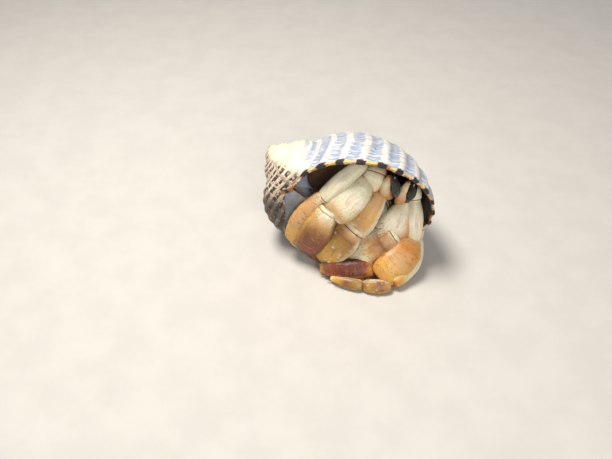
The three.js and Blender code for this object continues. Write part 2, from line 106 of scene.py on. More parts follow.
SEGMENTS = {
    "second_leg_right_merus": Segment(
        ((2.1, -8.3, 15.8), (-0.8, -9.8, 13.2), (-3.7, -10.5, 10.4)),
        (3.6, 5.2, 5.4, 4.8), (2.4, 2.9, 3.0, 2.6), (0, -0.8, 0.6)),
    "second_leg_right_carpus": Segment(
        ((-3.6, -10.4, 12.1), (-6.0, -10.6, 7.4), (-7.4, -9.3, 2.1)),
        (3.6, 5.4, 5.8, 5.0), (2.4, 3.1, 3.1, 2.6), (-0.25, -0.85, 0.45)),
    "second_leg_right_ischium": Segment(
        ((3.5, -6.0, 16.9), (3.1, -7.7, 16.2), (1.9, -8.6, 14.0)),
        (3.0, 3.6, 3.0), (2.4, 2.6, 2.2), (0, -0.8, 0.6)),
    "third_leg_right_merus": Segment(
        ((1.6, -7.0, 18.3), (-1.9, -8.7, 15.9), (-5.0, -9.2, 12.7)),
        (2.4, 2.9, 2.7), (2.2, 2.5, 2.3), (-0.3, -0.7, 0.6)),
    "third_leg_right_carpus": Segment(
        ((-4.6, -9.0, 13.6), (-8.2, -9.4, 9.2), (-9.9, -8.7, 4.2)),
        (2.4, 2.8, 2.9, 2.5), (2.2, 2.5, 2.3), (-0.4, -0.8, 0.4)),
    "cheliped_right_merus": Segment(
        ((4.6, -7.8, 13.7), (1.9, -9.6, 10.5), (-0.5, -10.7, 7.6)),
        (2.2, 4.2, 5.4, 5.2), (2.6, 3.0, 3.2, 2.8), (0, -0.8, 0.6)),
    "cheliped_right_carpus": Segment(
        ((0.6, -10.9, 9.0), (-2.3, -11.4, 5.4), (-5.1, -10.9, 1.8)),
        (4.0, 5.4, 5.4, 4.2), (2.6, 3.2, 3.2, 2.4), (0, -0.8, 0.6)),
    "second_leg_left_merus": Segment(
        ((9.3, -8.1, 12.6), (9.6, -9.6, 9.0), (9.5, -10.3, 4.8)),
        (2.2, 2.8, 2.9), (2.6, 3.2, 3.0), (0.1, -0.9, 0.3)),
    "second_leg_left_carpus": Segment(
        ((9.7, -10.4, 5.9), (7.6, -13.1, 3.9), (3.9, -15.2, 1.6)),
        (3.4, 5.2, 5.6, 5.0), (2.6, 3.4, 3.4, 3.0), (0.25, -0.7, 0.65)),
    "second_leg_left_propodus": Segment(
        ((3.6, -13.6, 2.1), (-0.8, -13.4, 1.8), (-5.1, -12.5, 1.2)),
        (2.8, 3.4, 3.1, 2.0), (2.6, 3.0, 2.8, 1.9), (0, -0.7, 0.7)),
    "third_leg_left_carpus": Segment(
        ((10.6, -9.2, 4.9), (9.4, -12.7, 2.6), (6.2, -16.1, 1.2)),
        (2.6, 3.6, 3.4, 2.6), (2.2, 2.8, 2.6), (0.6, -0.6, 0.2)),
    "third_leg_left_propodus": Segment(
        ((6.0, -16.4, 1.0), (3.8, -16.5, 1.0), (1.5, -16.2, 0.9)),
        (2.0, 2.3, 2.0), (1.7, 2.0, 1.8), (0, -0.7, 0.7)),
    "third_leg_left_dactyl": Segment(
        ((1.6, -16.2, 0.9), (-0.8, -15.6, 0.9), (-3.5, -14.4, 0.8)),
        (1.9, 1.8, 1.0), (1.7, 1.6, 1.0), (0, -0.7, 0.7)),
    "cheliped_left_merus": Segment(
        ((8.8, -7.6, 12.0), (7.3, -9.3, 9.2), (5.5, -10.4, 6.1)),
        (1.8, 3.8, 5.6, 5.8), (2.6, 3.0, 3.2, 2.8), (0, -0.8, 0.6)),
    "cheliped_left_carpus": Segment(
        ((7.0, -10.7, 7.3), (3.4, -11.4, 4.9), (-0.7, -11.4, 2.4)),
        (4.0, 5.4, 5.6, 4.6), (2.6, 3.3, 3.3, 2.6), (0, -0.8, 0.6)),
    "second_leg_left_ischium": Segment(
        ((9.2, -7.6, 14.4), (9.5, -8.8, 12.0)),
        (1.9, 2.3, 2.1), (2.0, 2.4, 2.2), (0.1, -0.9, 0.3)),
    "third_leg_left_merus": Segment(
        ((9.6, -6.0, 10.6), (10.3, -7.6, 7.0), (10.3, -9.0, 3.6)),
        (2.0, 2.6, 2.6), (2.4, 2.8, 2.6), (0.5, -0.8, 0.1)),
    "cornea_right": Segment(
        ((6.3, -8.9, 13.0), (6.1, -9.9, 15.4), (5.7, -9.7, 17.9)),
        (1.0, 1.7, 1.2), (1.2, 1.6, 1.1), (0.5, -0.8, 0.3)),
    "cornea_left": Segment(
        ((7.8, -9.2, 12.4), (8.5, -9.9, 14.4), (8.9, -9.6, 16.5)),
        (0.8, 1.6, 1.2), (1.2, 1.6, 1.1), (0.5, -0.8, 0.3)),
    "eyestalk_right": Segment(
        ((5.9, -7.6, 12.0), (4.8, -9.0, 14.3), (5.2, -9.3, 17.3)),
        (1.6, 2.2, 1.3), (1.4, 1.7, 1.2), (0.2, -0.9, 0.3)),
    "eyestalk_left": Segment(
        ((7.0, -8.0, 11.0), (7.6, -9.3, 13.6), (8.5, -9.2, 16.2)),
        (1.5, 2.6, 1.8), (1.4, 1.7, 1.2), (0.2, -0.9, 0.3)),
    "antenna_base_right": Segment(
        ((4.0, -5.6, 12.6), (4.2, -7.2, 11.6), (4.6, -8.0, 10.7)),
        (1.3, 1.4, 1.0), (1.3, 1.4, 1.0), (0, -0.8, 0.6)),
    "antenna_base_left": Segment(
        ((8.0, -5.4, 10.2), (7.9, -7.0, 10.0), (7.6, -8.2, 9.8)),
        (1.3, 1.3, 1.0), (1.3, 1.3, 1.0), (0, -0.8, 0.6)),
    "antennule_right": Segment(
        ((5.5, -6.2, 12.0), (5.2, -7.6, 11.1), (5.5, -8.2, 9.6)),
        (0.7, 0.8, 0.6), (0.7, 0.8, 0.6), (0, -0.8, 0.6)),
    "antennule_left": Segment(
        ((6.8, -6.2, 11.2), (6.9, -7.6, 10.4), (6.6, -8.4, 9.0)),
        (0.7, 0.8, 0.6), (0.7, 0.8, 0.6), (0, -0.8, 0.6)),
    "maxilliped_right": Segment(
        ((3.9, -6.2, 11.6), (4.6, -8.2, 10.4), (4.9, -9.2, 8.6)),
        (1.5, 1.9, 1.2), (1.3, 1.5, 1.0), (0, -0.8, 0.6)),
    "maxilliped_left": Segment(
        ((6.2, -6.2, 10.6), (6.5, -8.4, 9.6), (5.9, -9.4, 8.0)),
        (1.5, 1.9, 1.2), (1.3, 1.5, 1.0), (0, -0.8, 0.6)),
    "cheliped_right_palm": Segment(
        ((-5.0, -9.0, 2.6), (-2.6, -7.7, 3.6), (0.2, -7.0, 4.4)),
        (2.4, 3.2, 3.0), (1.8, 2.4, 2.2), (0, -0.8, 0.6)),
    "cheliped_right_finger": Segment(
        ((0.2, -7.0, 4.6), (1.4, -6.8, 5.8), (1.8, -6.6, 7.6)),
        (2.2, 1.9, 0.9), (1.5, 1.4, 0.8), (0, -0.8, 0.6)),
    "cheliped_left_palm": Segment(
        ((0.6, -8.7, 2.4), (3.4, -7.9, 3.2), (6.6, -7.3, 4.0)),
        (2.6, 3.8, 3.6), (2.0, 2.6, 2.4), (0, -0.8, 0.6)),
    "cheliped_left_finger": Segment(
        ((6.8, -7.1, 4.2), (7.9, -6.7, 5.4), (7.8, -6.3, 7.4)),
        (2.4, 2.0, 0.8), (1.6, 1.5, 0.8), (0, -0.8, 0.6)),
    "second_leg_right_propodus": Segment(
        ((-6.9, -9.2, 1.2), (-4.6, -9.4, 1.0), (-2.2, -9.4, 1.1)),
        (1.7, 2.0, 1.7), (1.6, 1.9, 1.6), (0, -0.8, 0.6)),
    "second_leg_right_dactyl": Segment(
        ((-2.2, -9.4, 1.1), (0.0, -9.8, 0.9), (2.4, -10.2, 0.6)),
        (1.5, 1.3, 0.6), (1.5, 1.3, 0.6), (0, -0.8, 0.6)),
    "third_leg_right_propodus": Segment(
        ((-9.7, -8.3, 4.2), (-8.4, -8.2, 2.8), (-6.4, -7.8, 2.6)),
        (1.9, 2.1, 1.7), (1.7, 1.9, 1.6), (0, -0.8, 0.6)),
    "third_leg_right_dactyl": Segment(
        ((-6.2, -7.8, 2.8), (-4.8, -7.6, 4.4), (-3.8, -7.4, 6.6)),
        (1.5, 1.3, 0.7), (1.5, 1.3, 0.7), (0, -0.8, 0.6)),
    "second_leg_left_dactyl": Segment(
        ((-4.8, -12.0, 1.0), (-4.2, -11.2, 0.7), (-1.4, -10.9, 0.7)),
        (1.5, 1.4, 0.7), (1.5, 1.4, 0.7), (0, -0.8, 0.6)),
    "carapace": Segment(
        ((6.8, -5.8, 13.0), (5.6, -2.6, 12.2), (3.6, 0.8, 11.2)),
        (3.4, 5.0, 5.4, 4.4), (2.6, 3.4, 3.8, 3.0), (0.5, 0.1, 0.86)),
    "thorax": Segment(
        ((5.8, -5.2, 10.4), (4.0, -2.4, 9.6), (1.9, 0.8, 8.6)),
        (3.6, 5.8, 6.2, 4.8), (3.0, 3.8, 4.0, 3.2), (0.5, 0.1, 0.86)),
    "abdomen": Segment(
        ((1.8, 1.4, 10.4), (-1.2, 3.6, 8.8), (-4.2, 3.4, 6.7), (-6.6, 1.4, 5.4), (-7.8, -1.0, 5.4)),
        (5.2, 6.2, 5.4, 4.2, 2.4), (5.0, 5.6, 5.0, 4.0, 2.4), (0, -0.8, 0.6)),
    "antenna_whip_right": Segment(
        ((3.7, -5.2, 13.4), (2.6, -3.4, 16.2), (0.4, -0.8, 15.8), (-2.0, 1.2, 13.6)),
        (0.7, 0.65, 0.55), (0.7, 0.65, 0.55), (0, -0.8, 0.6)),
    "antenna_whip_left": Segment(
        ((8.4, -5.0, 10.4), (9.2, -3.2, 9.0), (7.9, -0.8, 7.0), (4.6, 1.2, 5.4)),
        (0.7, 0.65, 0.55), (0.7, 0.65, 0.55), (0, -0.8, 0.6)),
    "fourth_leg_right": Segment(
        ((0.6, -1.2, 14.4), (-1.2, 0.2, 14.4), (-3.0, 1.8, 13.8)),
        (1.3, 1.5, 1.0), (1.3, 1.5, 1.0), (0, -0.8, 0.6)),
    "fourth_leg_left": Segment(
        ((6.6, -1.0, 9.4), (6.6, 1.0, 8.3), (5.6, 3.0, 7.6)),
        (1.3, 1.5, 1.0), (1.3, 1.5, 1.0), (0, -0.8, 0.6)),
}

SHELF_NOTCH = Segment(
    ((-6.4, -7.6, 3.4), (1.0, -7.4, 4.2), (8.6, -7.4, 5.0)),
    (4.0, 5.6, 5.0), (3.6, 4.8, 4.0), (0, -0.8, 0.6))


def tint(code):
    """A colour written as six hex digits, as the linear values that Blender works with."""
    values = [int(code[i:i + 2], 16) / 255 for i in (0, 2, 4)]
    return tuple(v / 12.92 if v <= 0.04045 else ((v + 0.055) / 1.055) ** 2.4 for v in values)


def colour(name, note, code):
    return bpy.props.FloatVectorProperty(
        name=name, description=note, default=tint(code), size=3, min=0, max=1, subtype="COLOR")


def length(name, note, millimetres):
    return bpy.props.FloatProperty(
        name=name, description=note, default=millimetres * MM, min=0, subtype="DISTANCE", unit="LENGTH")


# ---------------------------------------------------------------- what a user may change

class ShellSettings(bpy.types.PropertyGroup):
    cords: bpy.props.IntProperty(
        name="Cords", description="Spiral cords round the shell", default=24, min=6)
    cord_height: length("Cord height", "How far a cord stands up", 0.28)
    lip: length("Lip", "Thickness of the shell at its mouth", 0.3)
    scallop: length("Scallop", "How far the lip is scalloped at each cord", 0.22)
    cord: colour("Cord", "Pale crest of a cord", "eae4dc")
    groove: colour("Groove", "Blue-grey band between the cords", "8b9ab4")
    spire: colour("Spire", "Worn tip", "f6ecc4")
    flank: colour("Flank", "Pinkish side below the spire", "d8b898")
    # dark dashes and spots of the shell, and also the near black of the painted shade inside the mouth and
    # on the low left side
    dash: colour("Dash", "Dark dashes in the grooves", "2c2523")
    # dark flecks in the grooves and the dark tone of the callus, and also the painted shade of the low left
    # side
    dark_fleck_and_shade: colour("Under", "Dark flecks and painted shade of the underside", "4c3f38")
    stain: colour("Stain", "Orange-brown spots", "a8622f")
    inner: colour("Inner", "Nacre of the mouth", "b4bfd0")
    rim: colour("Rim", "Yellow rim of the lip", "d8c07a")


class CuticleSettings(bpy.types.PropertyGroup):
    cream: colour("Cream", "Pale cuticle", "e6dab4")
    white: colour("White", "Palest rims", "f0e8cf")
    green: colour("Green", "Greenish tinge of the pale cuticle", "d0cba8")
    tan: colour("Tan", "Tan cuticle", "c89a62")
    pink: colour("Pink", "Pinkish cuticle", "c99a78")
    orange: colour("Orange", "Orange cuticle", "c67f34")
    yellow: colour("Yellow", "Yellow-orange cuticle", "d8a448")
    ochre: colour("Ochre", "Ochre cuticle", "b08a40")
    brown: colour("Brown", "Brown cuticle", "84562c")
    rust: colour("Rust", "Rusty patches", "7a3816")
    red: colour("Red", "Dark red patches", "581a0c")
    # green of the mouthparts, darkened as painted shade
    shaded_moss: colour("Moss", "Dark green of the mouthparts", "3c4638")
    # painted shade in the folds and crevices between segments, and also dark joint lines and specks
    dark: colour("Dark", "Folds between segments", "1f130c")
    flesh: colour("Flesh", "Soft parts", "c99a78")


class EyeSettings(bpy.types.PropertyGroup):
    stalk: colour("Stalk", "Pinkish stalk", "c4824e")
    cornea: colour("Cornea", "Dark eye", "0e0607")
    sheen: colour("Sheen", "Purple-brown bloom of the eye", "2a1216")


class CoatSettings(bpy.types.PropertyGroup):
    hair: length("Hair", "Length of the stiff hairs on the legs", 0.75)
    thickness: length("Thickness", "Thickness of one hair at its root", 0.05)
    shade: colour("Shade", "Colour of the hairs", "b98a4c")


class StageSettings(bpy.types.PropertyGroup):
    floor: colour("Floor", "Pale floor", "cfcac2")
    sky: bpy.props.FloatProperty(
        name="Sky", description="Strength of the light all round", default=0.25, min=0)
    key: bpy.props.FloatProperty(
        name="Key", description="Power of the main light", default=0.36, min=0,
        subtype="POWER", unit="POWER")
    fill: bpy.props.FloatProperty(
        name="Fill", description="Power of the front light", default=0.23, min=0,
        subtype="POWER", unit="POWER")
    camera: bpy.props.FloatVectorProperty(
        name="Camera", description="Where the camera stands", size=3, subtype="TRANSLATION", unit="LENGTH",
        default=(-0.00643, -0.08557, 0.08013))
    elevation: bpy.props.FloatProperty(
        name="Elevation", description="How steeply the camera looks down", default=math.radians(42),
        subtype="ANGLE", unit="ROTATION")
    view: bpy.props.FloatProperty(
        name="View", description="Width of the camera's view", default=math.radians(48),
        subtype="ANGLE", unit="ROTATION")


# ---------------------------------------------------------------- meshes

def shade_soft(mesh, angle=50):
    mesh.shade_smooth()
    mesh.set_sharp_from_angle(angle=math.radians(angle))


def new_piece(name, points, faces, material):
    """A mesh object from points in mm in the spiral's own frame."""
    mesh = bpy.data.meshes.new(name)
    mesh.from_pydata(((points + ORIGIN_SHIFT) * MM).tolist(), [], faces)
    mesh.validate()
    shade_soft(mesh)
    if material:
        mesh.materials.append(material)
    piece = bpy.data.objects.new(name, mesh)
    bpy.context.scene.collection.objects.link(piece)
    return piece


def stand_for(piece, *nodes):
    """The piece takes the place of these nodes, which are hidden, and hangs under the body."""
    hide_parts(*nodes)
    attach(piece, BODY)
    return piece


def ring_faces(rings, sides):
    """Quads between closed rings, and a fan onto one extra point at each end."""
    faces = []
    start = rings * sides
    for side in range(sides):
        after = (side + 1) % sides
        faces.append((start, side, after))
        for ring in range(rings - 1):
            here = ring * sides
            there = here + sides
            faces.append((here + side, there + side, there + after, here + after))
        last = (rings - 1) * sides
        faces.append((start + 1, last + after, last + side))
    return faces


def write_attribute(mesh, name, values, domain="POINT"):
    layer = mesh.attributes.new(name, "FLOAT", domain)
    layer.data.foreach_set("value", np.asarray(values, np.float32))


def smooth_step(values, low, high):
    share = np.clip((values - low) / (high - low), 0, 1)
    return share * share * (3 - 2 * share)


def waves(points, size, seed):
    """Soft uneven noise between about -1 and 1, made of a few slanted waves."""
    draw = np.random.default_rng(seed)
    total = np.zeros(len(points))
    for _ in range(7):
        way = draw.normal(size=3)
        way *= 2 * math.pi / (size * np.linalg.norm(way))
        total += np.sin(points @ way * draw.uniform(0.7, 1.6) + draw.uniform(0, 2 * math.pi))
    return total / 3.5


# ---------------------------------------------------------------- nodes

NOISE_ROUGHNESS = 0.55


class Finish:
    """A material that is put together node by node."""

    def __init__(self, name):
        self.material = bpy.data.materials.new(name)
        self.material.use_nodes = True
        self.tree = self.material.node_tree
        self.shader = self.tree.nodes["Principled BSDF"]

    def add(self, kind, inputs=(), **settings):
        node = self.tree.nodes.new(kind)
        for key, value in settings.items():
            setattr(node, key, value)
        for key, value in dict(inputs).items():
            self.plug(node.inputs[key], value)
        return node

    def plug(self, socket, value):
        if isinstance(value, bpy.types.NodeSocket):
            self.tree.links.new(value, socket)
        elif socket.type == "RGBA":
            socket.default_value = (*value[:3], 1)
        else:
            socket.default_value = value

    def carried(self, name):
        return self.add("ShaderNodeAttribute", attribute_name=name).outputs["Fac"]

    def place(self):
        return self.add("ShaderNodeTexCoord").outputs["Object"]

    def part_of_place(self):
        split = self.add("ShaderNodeSeparateXYZ", {0: self.place()})
        return split.outputs[0], split.outputs[1], split.outputs[2]

    def math(self, operation, first, second=0.5):
        return self.add("ShaderNodeMath", {0: first, 1: second}, operation=operation).outputs[0]

    def times(self, first, second):
        return self.math("MULTIPLY", first, second)

    def plus(self, first, second):
        return self.math("ADD", first, second)

    def minus(self, first, second):
        return self.math("SUBTRACT", first, second)

    def step(self, value, low, high, least=0.0, most=1.0):
        """From least to most as the value goes from low to high, softly."""
        if low > high:
            low, high, least, most = high, low, most, least
        return self.add(
            "ShaderNodeMapRange",
            {"Value": value, "From Min": low, "From Max": high, "To Min": least, "To Max": most},
            interpolation_type="SMOOTHSTEP").outputs["Result"]

    def vector(self, x=0.0, y=0.0, z=0.0):
        return self.add("ShaderNodeCombineXYZ", {0: x, 1: y, 2: z}).outputs[0]

    def noise(self, scale, detail=3.0, where=None):
        return self.add(
            "ShaderNodeTexNoise",
            {"Vector": where or self.place(), "Scale": scale, "Detail": detail,
             "Roughness": NOISE_ROUGHNESS},
        ).outputs["Fac"]

    def cells(self, scale):
        return self.add(
            "ShaderNodeTexVoronoi", {"Vector": self.place(), "Scale": scale},
            feature="F1").outputs["Distance"]

    def mix(self, share, first, second):
        node = self.add("ShaderNodeMix", data_type="RGBA", blend_type="MIX")
        self.plug(node.inputs[0], share)
        self.plug(node.inputs[6], first)
        self.plug(node.inputs[7], second)
        return node.outputs[2]

    def bands(self, value, stops):
        """Colours along a value, from stops of place and colour."""
        node = self.add("ShaderNodeValToRGB", {0: value})
        points = node.color_ramp.elements
        while len(points) < len(stops):
            points.new(1.0)
        for point, (where, shade) in zip(points, stops):
            point.position = where
            point.color = (*shade[:3], 1)
        return node.outputs["Color"]

    def relief(self, height, strength, depth):
        return self.add(
            "ShaderNodeBump", {"Height": height, "Strength": strength, "Distance": depth}).outputs["Normal"]

    def finish(self, shade, roughness, normal=None, **constants):
        """Puts the colour, the roughness and plain values on the shader, and gives the material."""
        self.plug(self.shader.inputs["Base Color"], shade)
        self.plug(self.shader.inputs["Roughness"], roughness)
        if normal:
            self.plug(self.shader.inputs["Normal"], normal)
        for key, value in constants.items():
            self.plug(self.shader.inputs[key.replace("_", " ")], value)
        return self.material


# ---------------------------------------------------------------- the shell

def shell_point(across, back, up):
    return (APEX + np.multiply.outer(across, LIP_WAY) + np.multiply.outer(back, BACK_WAY)
            + np.multiply.outer(up, AXIS_UP))


MOUTH_NORMAL = BACK_WAY + MOUTH_SLOPE * AXIS_UP + MOUTH_TILT * LIP_WAY
MOUTH_NORMAL = MOUTH_NORMAL / np.linalg.norm(MOUTH_NORMAL)
MOUTH_POINT = shell_point(0.0, -MOUTH_OFFSET, -MOUTH_LEVEL)


def ahead_of_mouth(points):
    """How far points stand in front of the mouth plane, in mm."""
    return (MOUTH_POINT - points) @ MOUTH_NORMAL


def whorl_points(turns, sides, grow):
    """Rings of the sweep. grow gives the extra size for each turn and each angle of the section."""
    angle = 2 * math.pi * np.arange(sides) / sides
    extra = grow(turns[:, None], angle[None, :])
    across = (HALF_WIDTH + extra) * np.cos(angle)
    along = (HALF_HEIGHT + extra) * np.sin(angle)
    radius = WHORL_RADIUS + across * math.cos(WHORL_LEAN) - along * math.sin(WHORL_LEAN)
    height = -WHORL_DROP + across * math.sin(WHORL_LEAN) + along * math.cos(WHORL_LEAN)
    radius = np.maximum(radius, AXIS_CLEARANCE)
    way = np.radians(turns)[:, None]
    size = WHORL_GROWTH ** (-turns / 360)[:, None]
    lift = spire_lift(turns)[:, None]
    return shell_point(size * radius * np.cos(way), size * radius * np.sin(way), size * height + lift)


def spire_lift(turns):
    return SPIRE_LIFT * (1 - WHORL_GROWTH ** (-np.maximum(turns - SPIRE_LIFT_START, 0) / 360))


def pressed_back(points):
    """The base flattens out just before it would reach the mouth plane."""
    ahead = ahead_of_mouth(points)
    room = BULGE_LIMIT - BULGE_START
    pressed = BULGE_START + room * np.tanh((ahead - BULGE_START) / room)
    return points + np.where(ahead > BULGE_START, ahead - pressed, 0)[..., None] * MOUTH_NORMAL


def released(points):
    """The other way round: where points of the flattened base would stand on the plain sweep."""
    ahead = ahead_of_mouth(points)
    room = BULGE_LIMIT - BULGE_START
    share = np.clip((ahead - BULGE_START) / room, 0, 0.995)
    free = BULGE_START + room * np.arctanh(share)
    return points - np.where(ahead > BULGE_START, free - ahead, 0)[..., None] * MOUTH_NORMAL


def solid(rings):
    """A closed solid from rings, for joining and cutting."""
    count, sides, _ = rings.shape
    ends = np.array([rings[0].mean(0), rings[-1].mean(0)])
    points = np.vstack([rings.reshape(-1, 3), ends])
    return new_piece("working solid", points, ring_faces(count, sides), None)


def combined(base, others, operation):
    """Joins the other solids to the base, or cuts them out of it, and removes them."""
    for other in others:
        change = base.modifiers.new("change", "BOOLEAN")
        change.operation = operation
        change.solver = "MANIFOLD"
        change.object = other
    view = bpy.context.evaluated_depsgraph_get()
    mesh = bpy.data.meshes.new_from_object(base.evaluated_get(view))
    base.modifiers.clear()
    base.data = mesh
    for other in others:
        bpy.data.objects.remove(other)
    return base


def where_on_whorl(points, revolution):
    """The turn that points lie at, and where they lie on the section of the whorl there."""
    offset = points - APEX
    across, back, up = offset @ LIP_WAY, offset @ BACK_WAY, offset @ AXIS_UP
    turn = (np.degrees(np.arctan2(back, across)) + MOUTH_SWEEP) % 360 - MOUTH_SWEEP + 360 * revolution
    size = WHORL_GROWTH ** (-turn / 360)
    radius = np.hypot(across, back) / size - WHORL_RADIUS
    height = (up - spire_lift(turn)) / size + WHORL_DROP
    wide = radius * math.cos(WHORL_LEAN) + height * math.sin(WHORL_LEAN)
    tall = height * math.cos(WHORL_LEAN) - radius * math.sin(WHORL_LEAN)
    return turn, wide, tall


def outline_level(wide, tall, grow):
    """How far out points of the section lie: 1 is on the outline that has grown by so many mm."""
    return np.hypot(wide / (HALF_WIDTH + grow), tall / (HALF_HEIGHT + grow))


INSIDE = -1                                        # the mark of faces inside the chamber
STEP_OUT = 0.1                                     # how far off a face its two sides are compared
TURN_OVERLAP = 2
CORD_MIDDLE = 0.14


def mark_shell(mesh, cords):
    """Writes on every face corner where it lies on the spiral: the cord it belongs to, the turn,
    the distance behind the lip and whether it is inside the mouth."""
    points = np.zeros(len(mesh.vertices) * 3)
    mesh.vertices.foreach_get("co", points)
    points = points.reshape(-1, 3) / MM - ORIGIN_SHIFT
    corner_point = np.zeros(len(mesh.loops), int)
    mesh.loops.foreach_get("vertex_index", corner_point)
    counts = np.zeros(len(mesh.polygons), int)
    mesh.polygons.foreach_get("loop_total", counts)
    face_of = np.repeat(np.arange(len(counts)), counts)
    centre = np.zeros((len(counts), 3))
    np.add.at(centre, face_of, points[corner_point])
    centre /= counts[:, None]
    free, free_centre = released(points), released(centre)
    ahead = ahead_of_mouth(centre)

    facing = np.zeros(len(mesh.polygons) * 3)
    mesh.polygons.foreach_get("normal", facing)
    turn, wide, tall = where_on_whorl(centre, 0)
    wall = wall_at(ahead)
    level = outline_level(wide, tall, -wall)
    _, wide_outside, tall_outside = where_on_whorl(centre + STEP_OUT * facing.reshape(-1, 3), 0)
    inward = outline_level(wide_outside, tall_outside, -wall) < level
    chosen = np.full(len(centre), INSIDE)
    on_chamber = (level < 1.03) & (turn < CHAMBER_DEPTH + 12) & inward
    nearest = np.where(on_chamber, np.abs(level - 1), np.inf)
    nearest = np.where(outline_level(wide, tall, 0) > 0.985, np.inf, nearest)
    whorls = [(0, centre, points)] + [(revolution, free_centre, free) for revolution in range(4)]
    for index, (revolution, placed, _) in enumerate(whorls):
        turn, wide, tall = where_on_whorl(placed, revolution)
        fits = turn < HALF_TURN + TURN_OVERLAP if index == 0 else turn > HALF_TURN - TURN_OVERLAP
        away = np.where(fits, np.abs(outline_level(wide, tall, CORD_MIDDLE) - 1), np.inf)
        better = away < nearest
        nearest = np.where(better, away, nearest)
        chosen = np.where(better, index, chosen)
    chosen = chosen[face_of]
    phase = np.zeros(len(corner_point))
    turns = np.zeros(len(corner_point))
    for index, (revolution, _, placed) in enumerate(whorls):
        mine = (chosen == index) | (chosen == INSIDE) if index == 0 else chosen == index
        turn, wide, tall = where_on_whorl(placed, revolution)
        angle = np.arctan2(tall / HALF_HEIGHT, wide / HALF_WIDTH)
        phase[mine] = (angle * cords / (2 * math.pi))[corner_point][mine]
        turns[mine] = (turn / 360)[corner_point][mine]
    write_attribute(mesh, "cord", phase, "CORNER")
    write_attribute(mesh, "turn", turns, "CORNER")
    write_attribute(mesh, "inside", (chosen == INSIDE).astype(float), "CORNER")
    write_attribute(mesh, "behind_lip", -ahead_of_mouth(points)[corner_point], "CORNER")


def wall_at(ahead):
    """The shell is thin at its lip and reaches its full wall a few mm behind it."""
    lip = bpy.context.scene.crab_shell.lip / MM
    return lip + (WALL - lip) * smooth_step(-ahead, 0.0, 4.5)


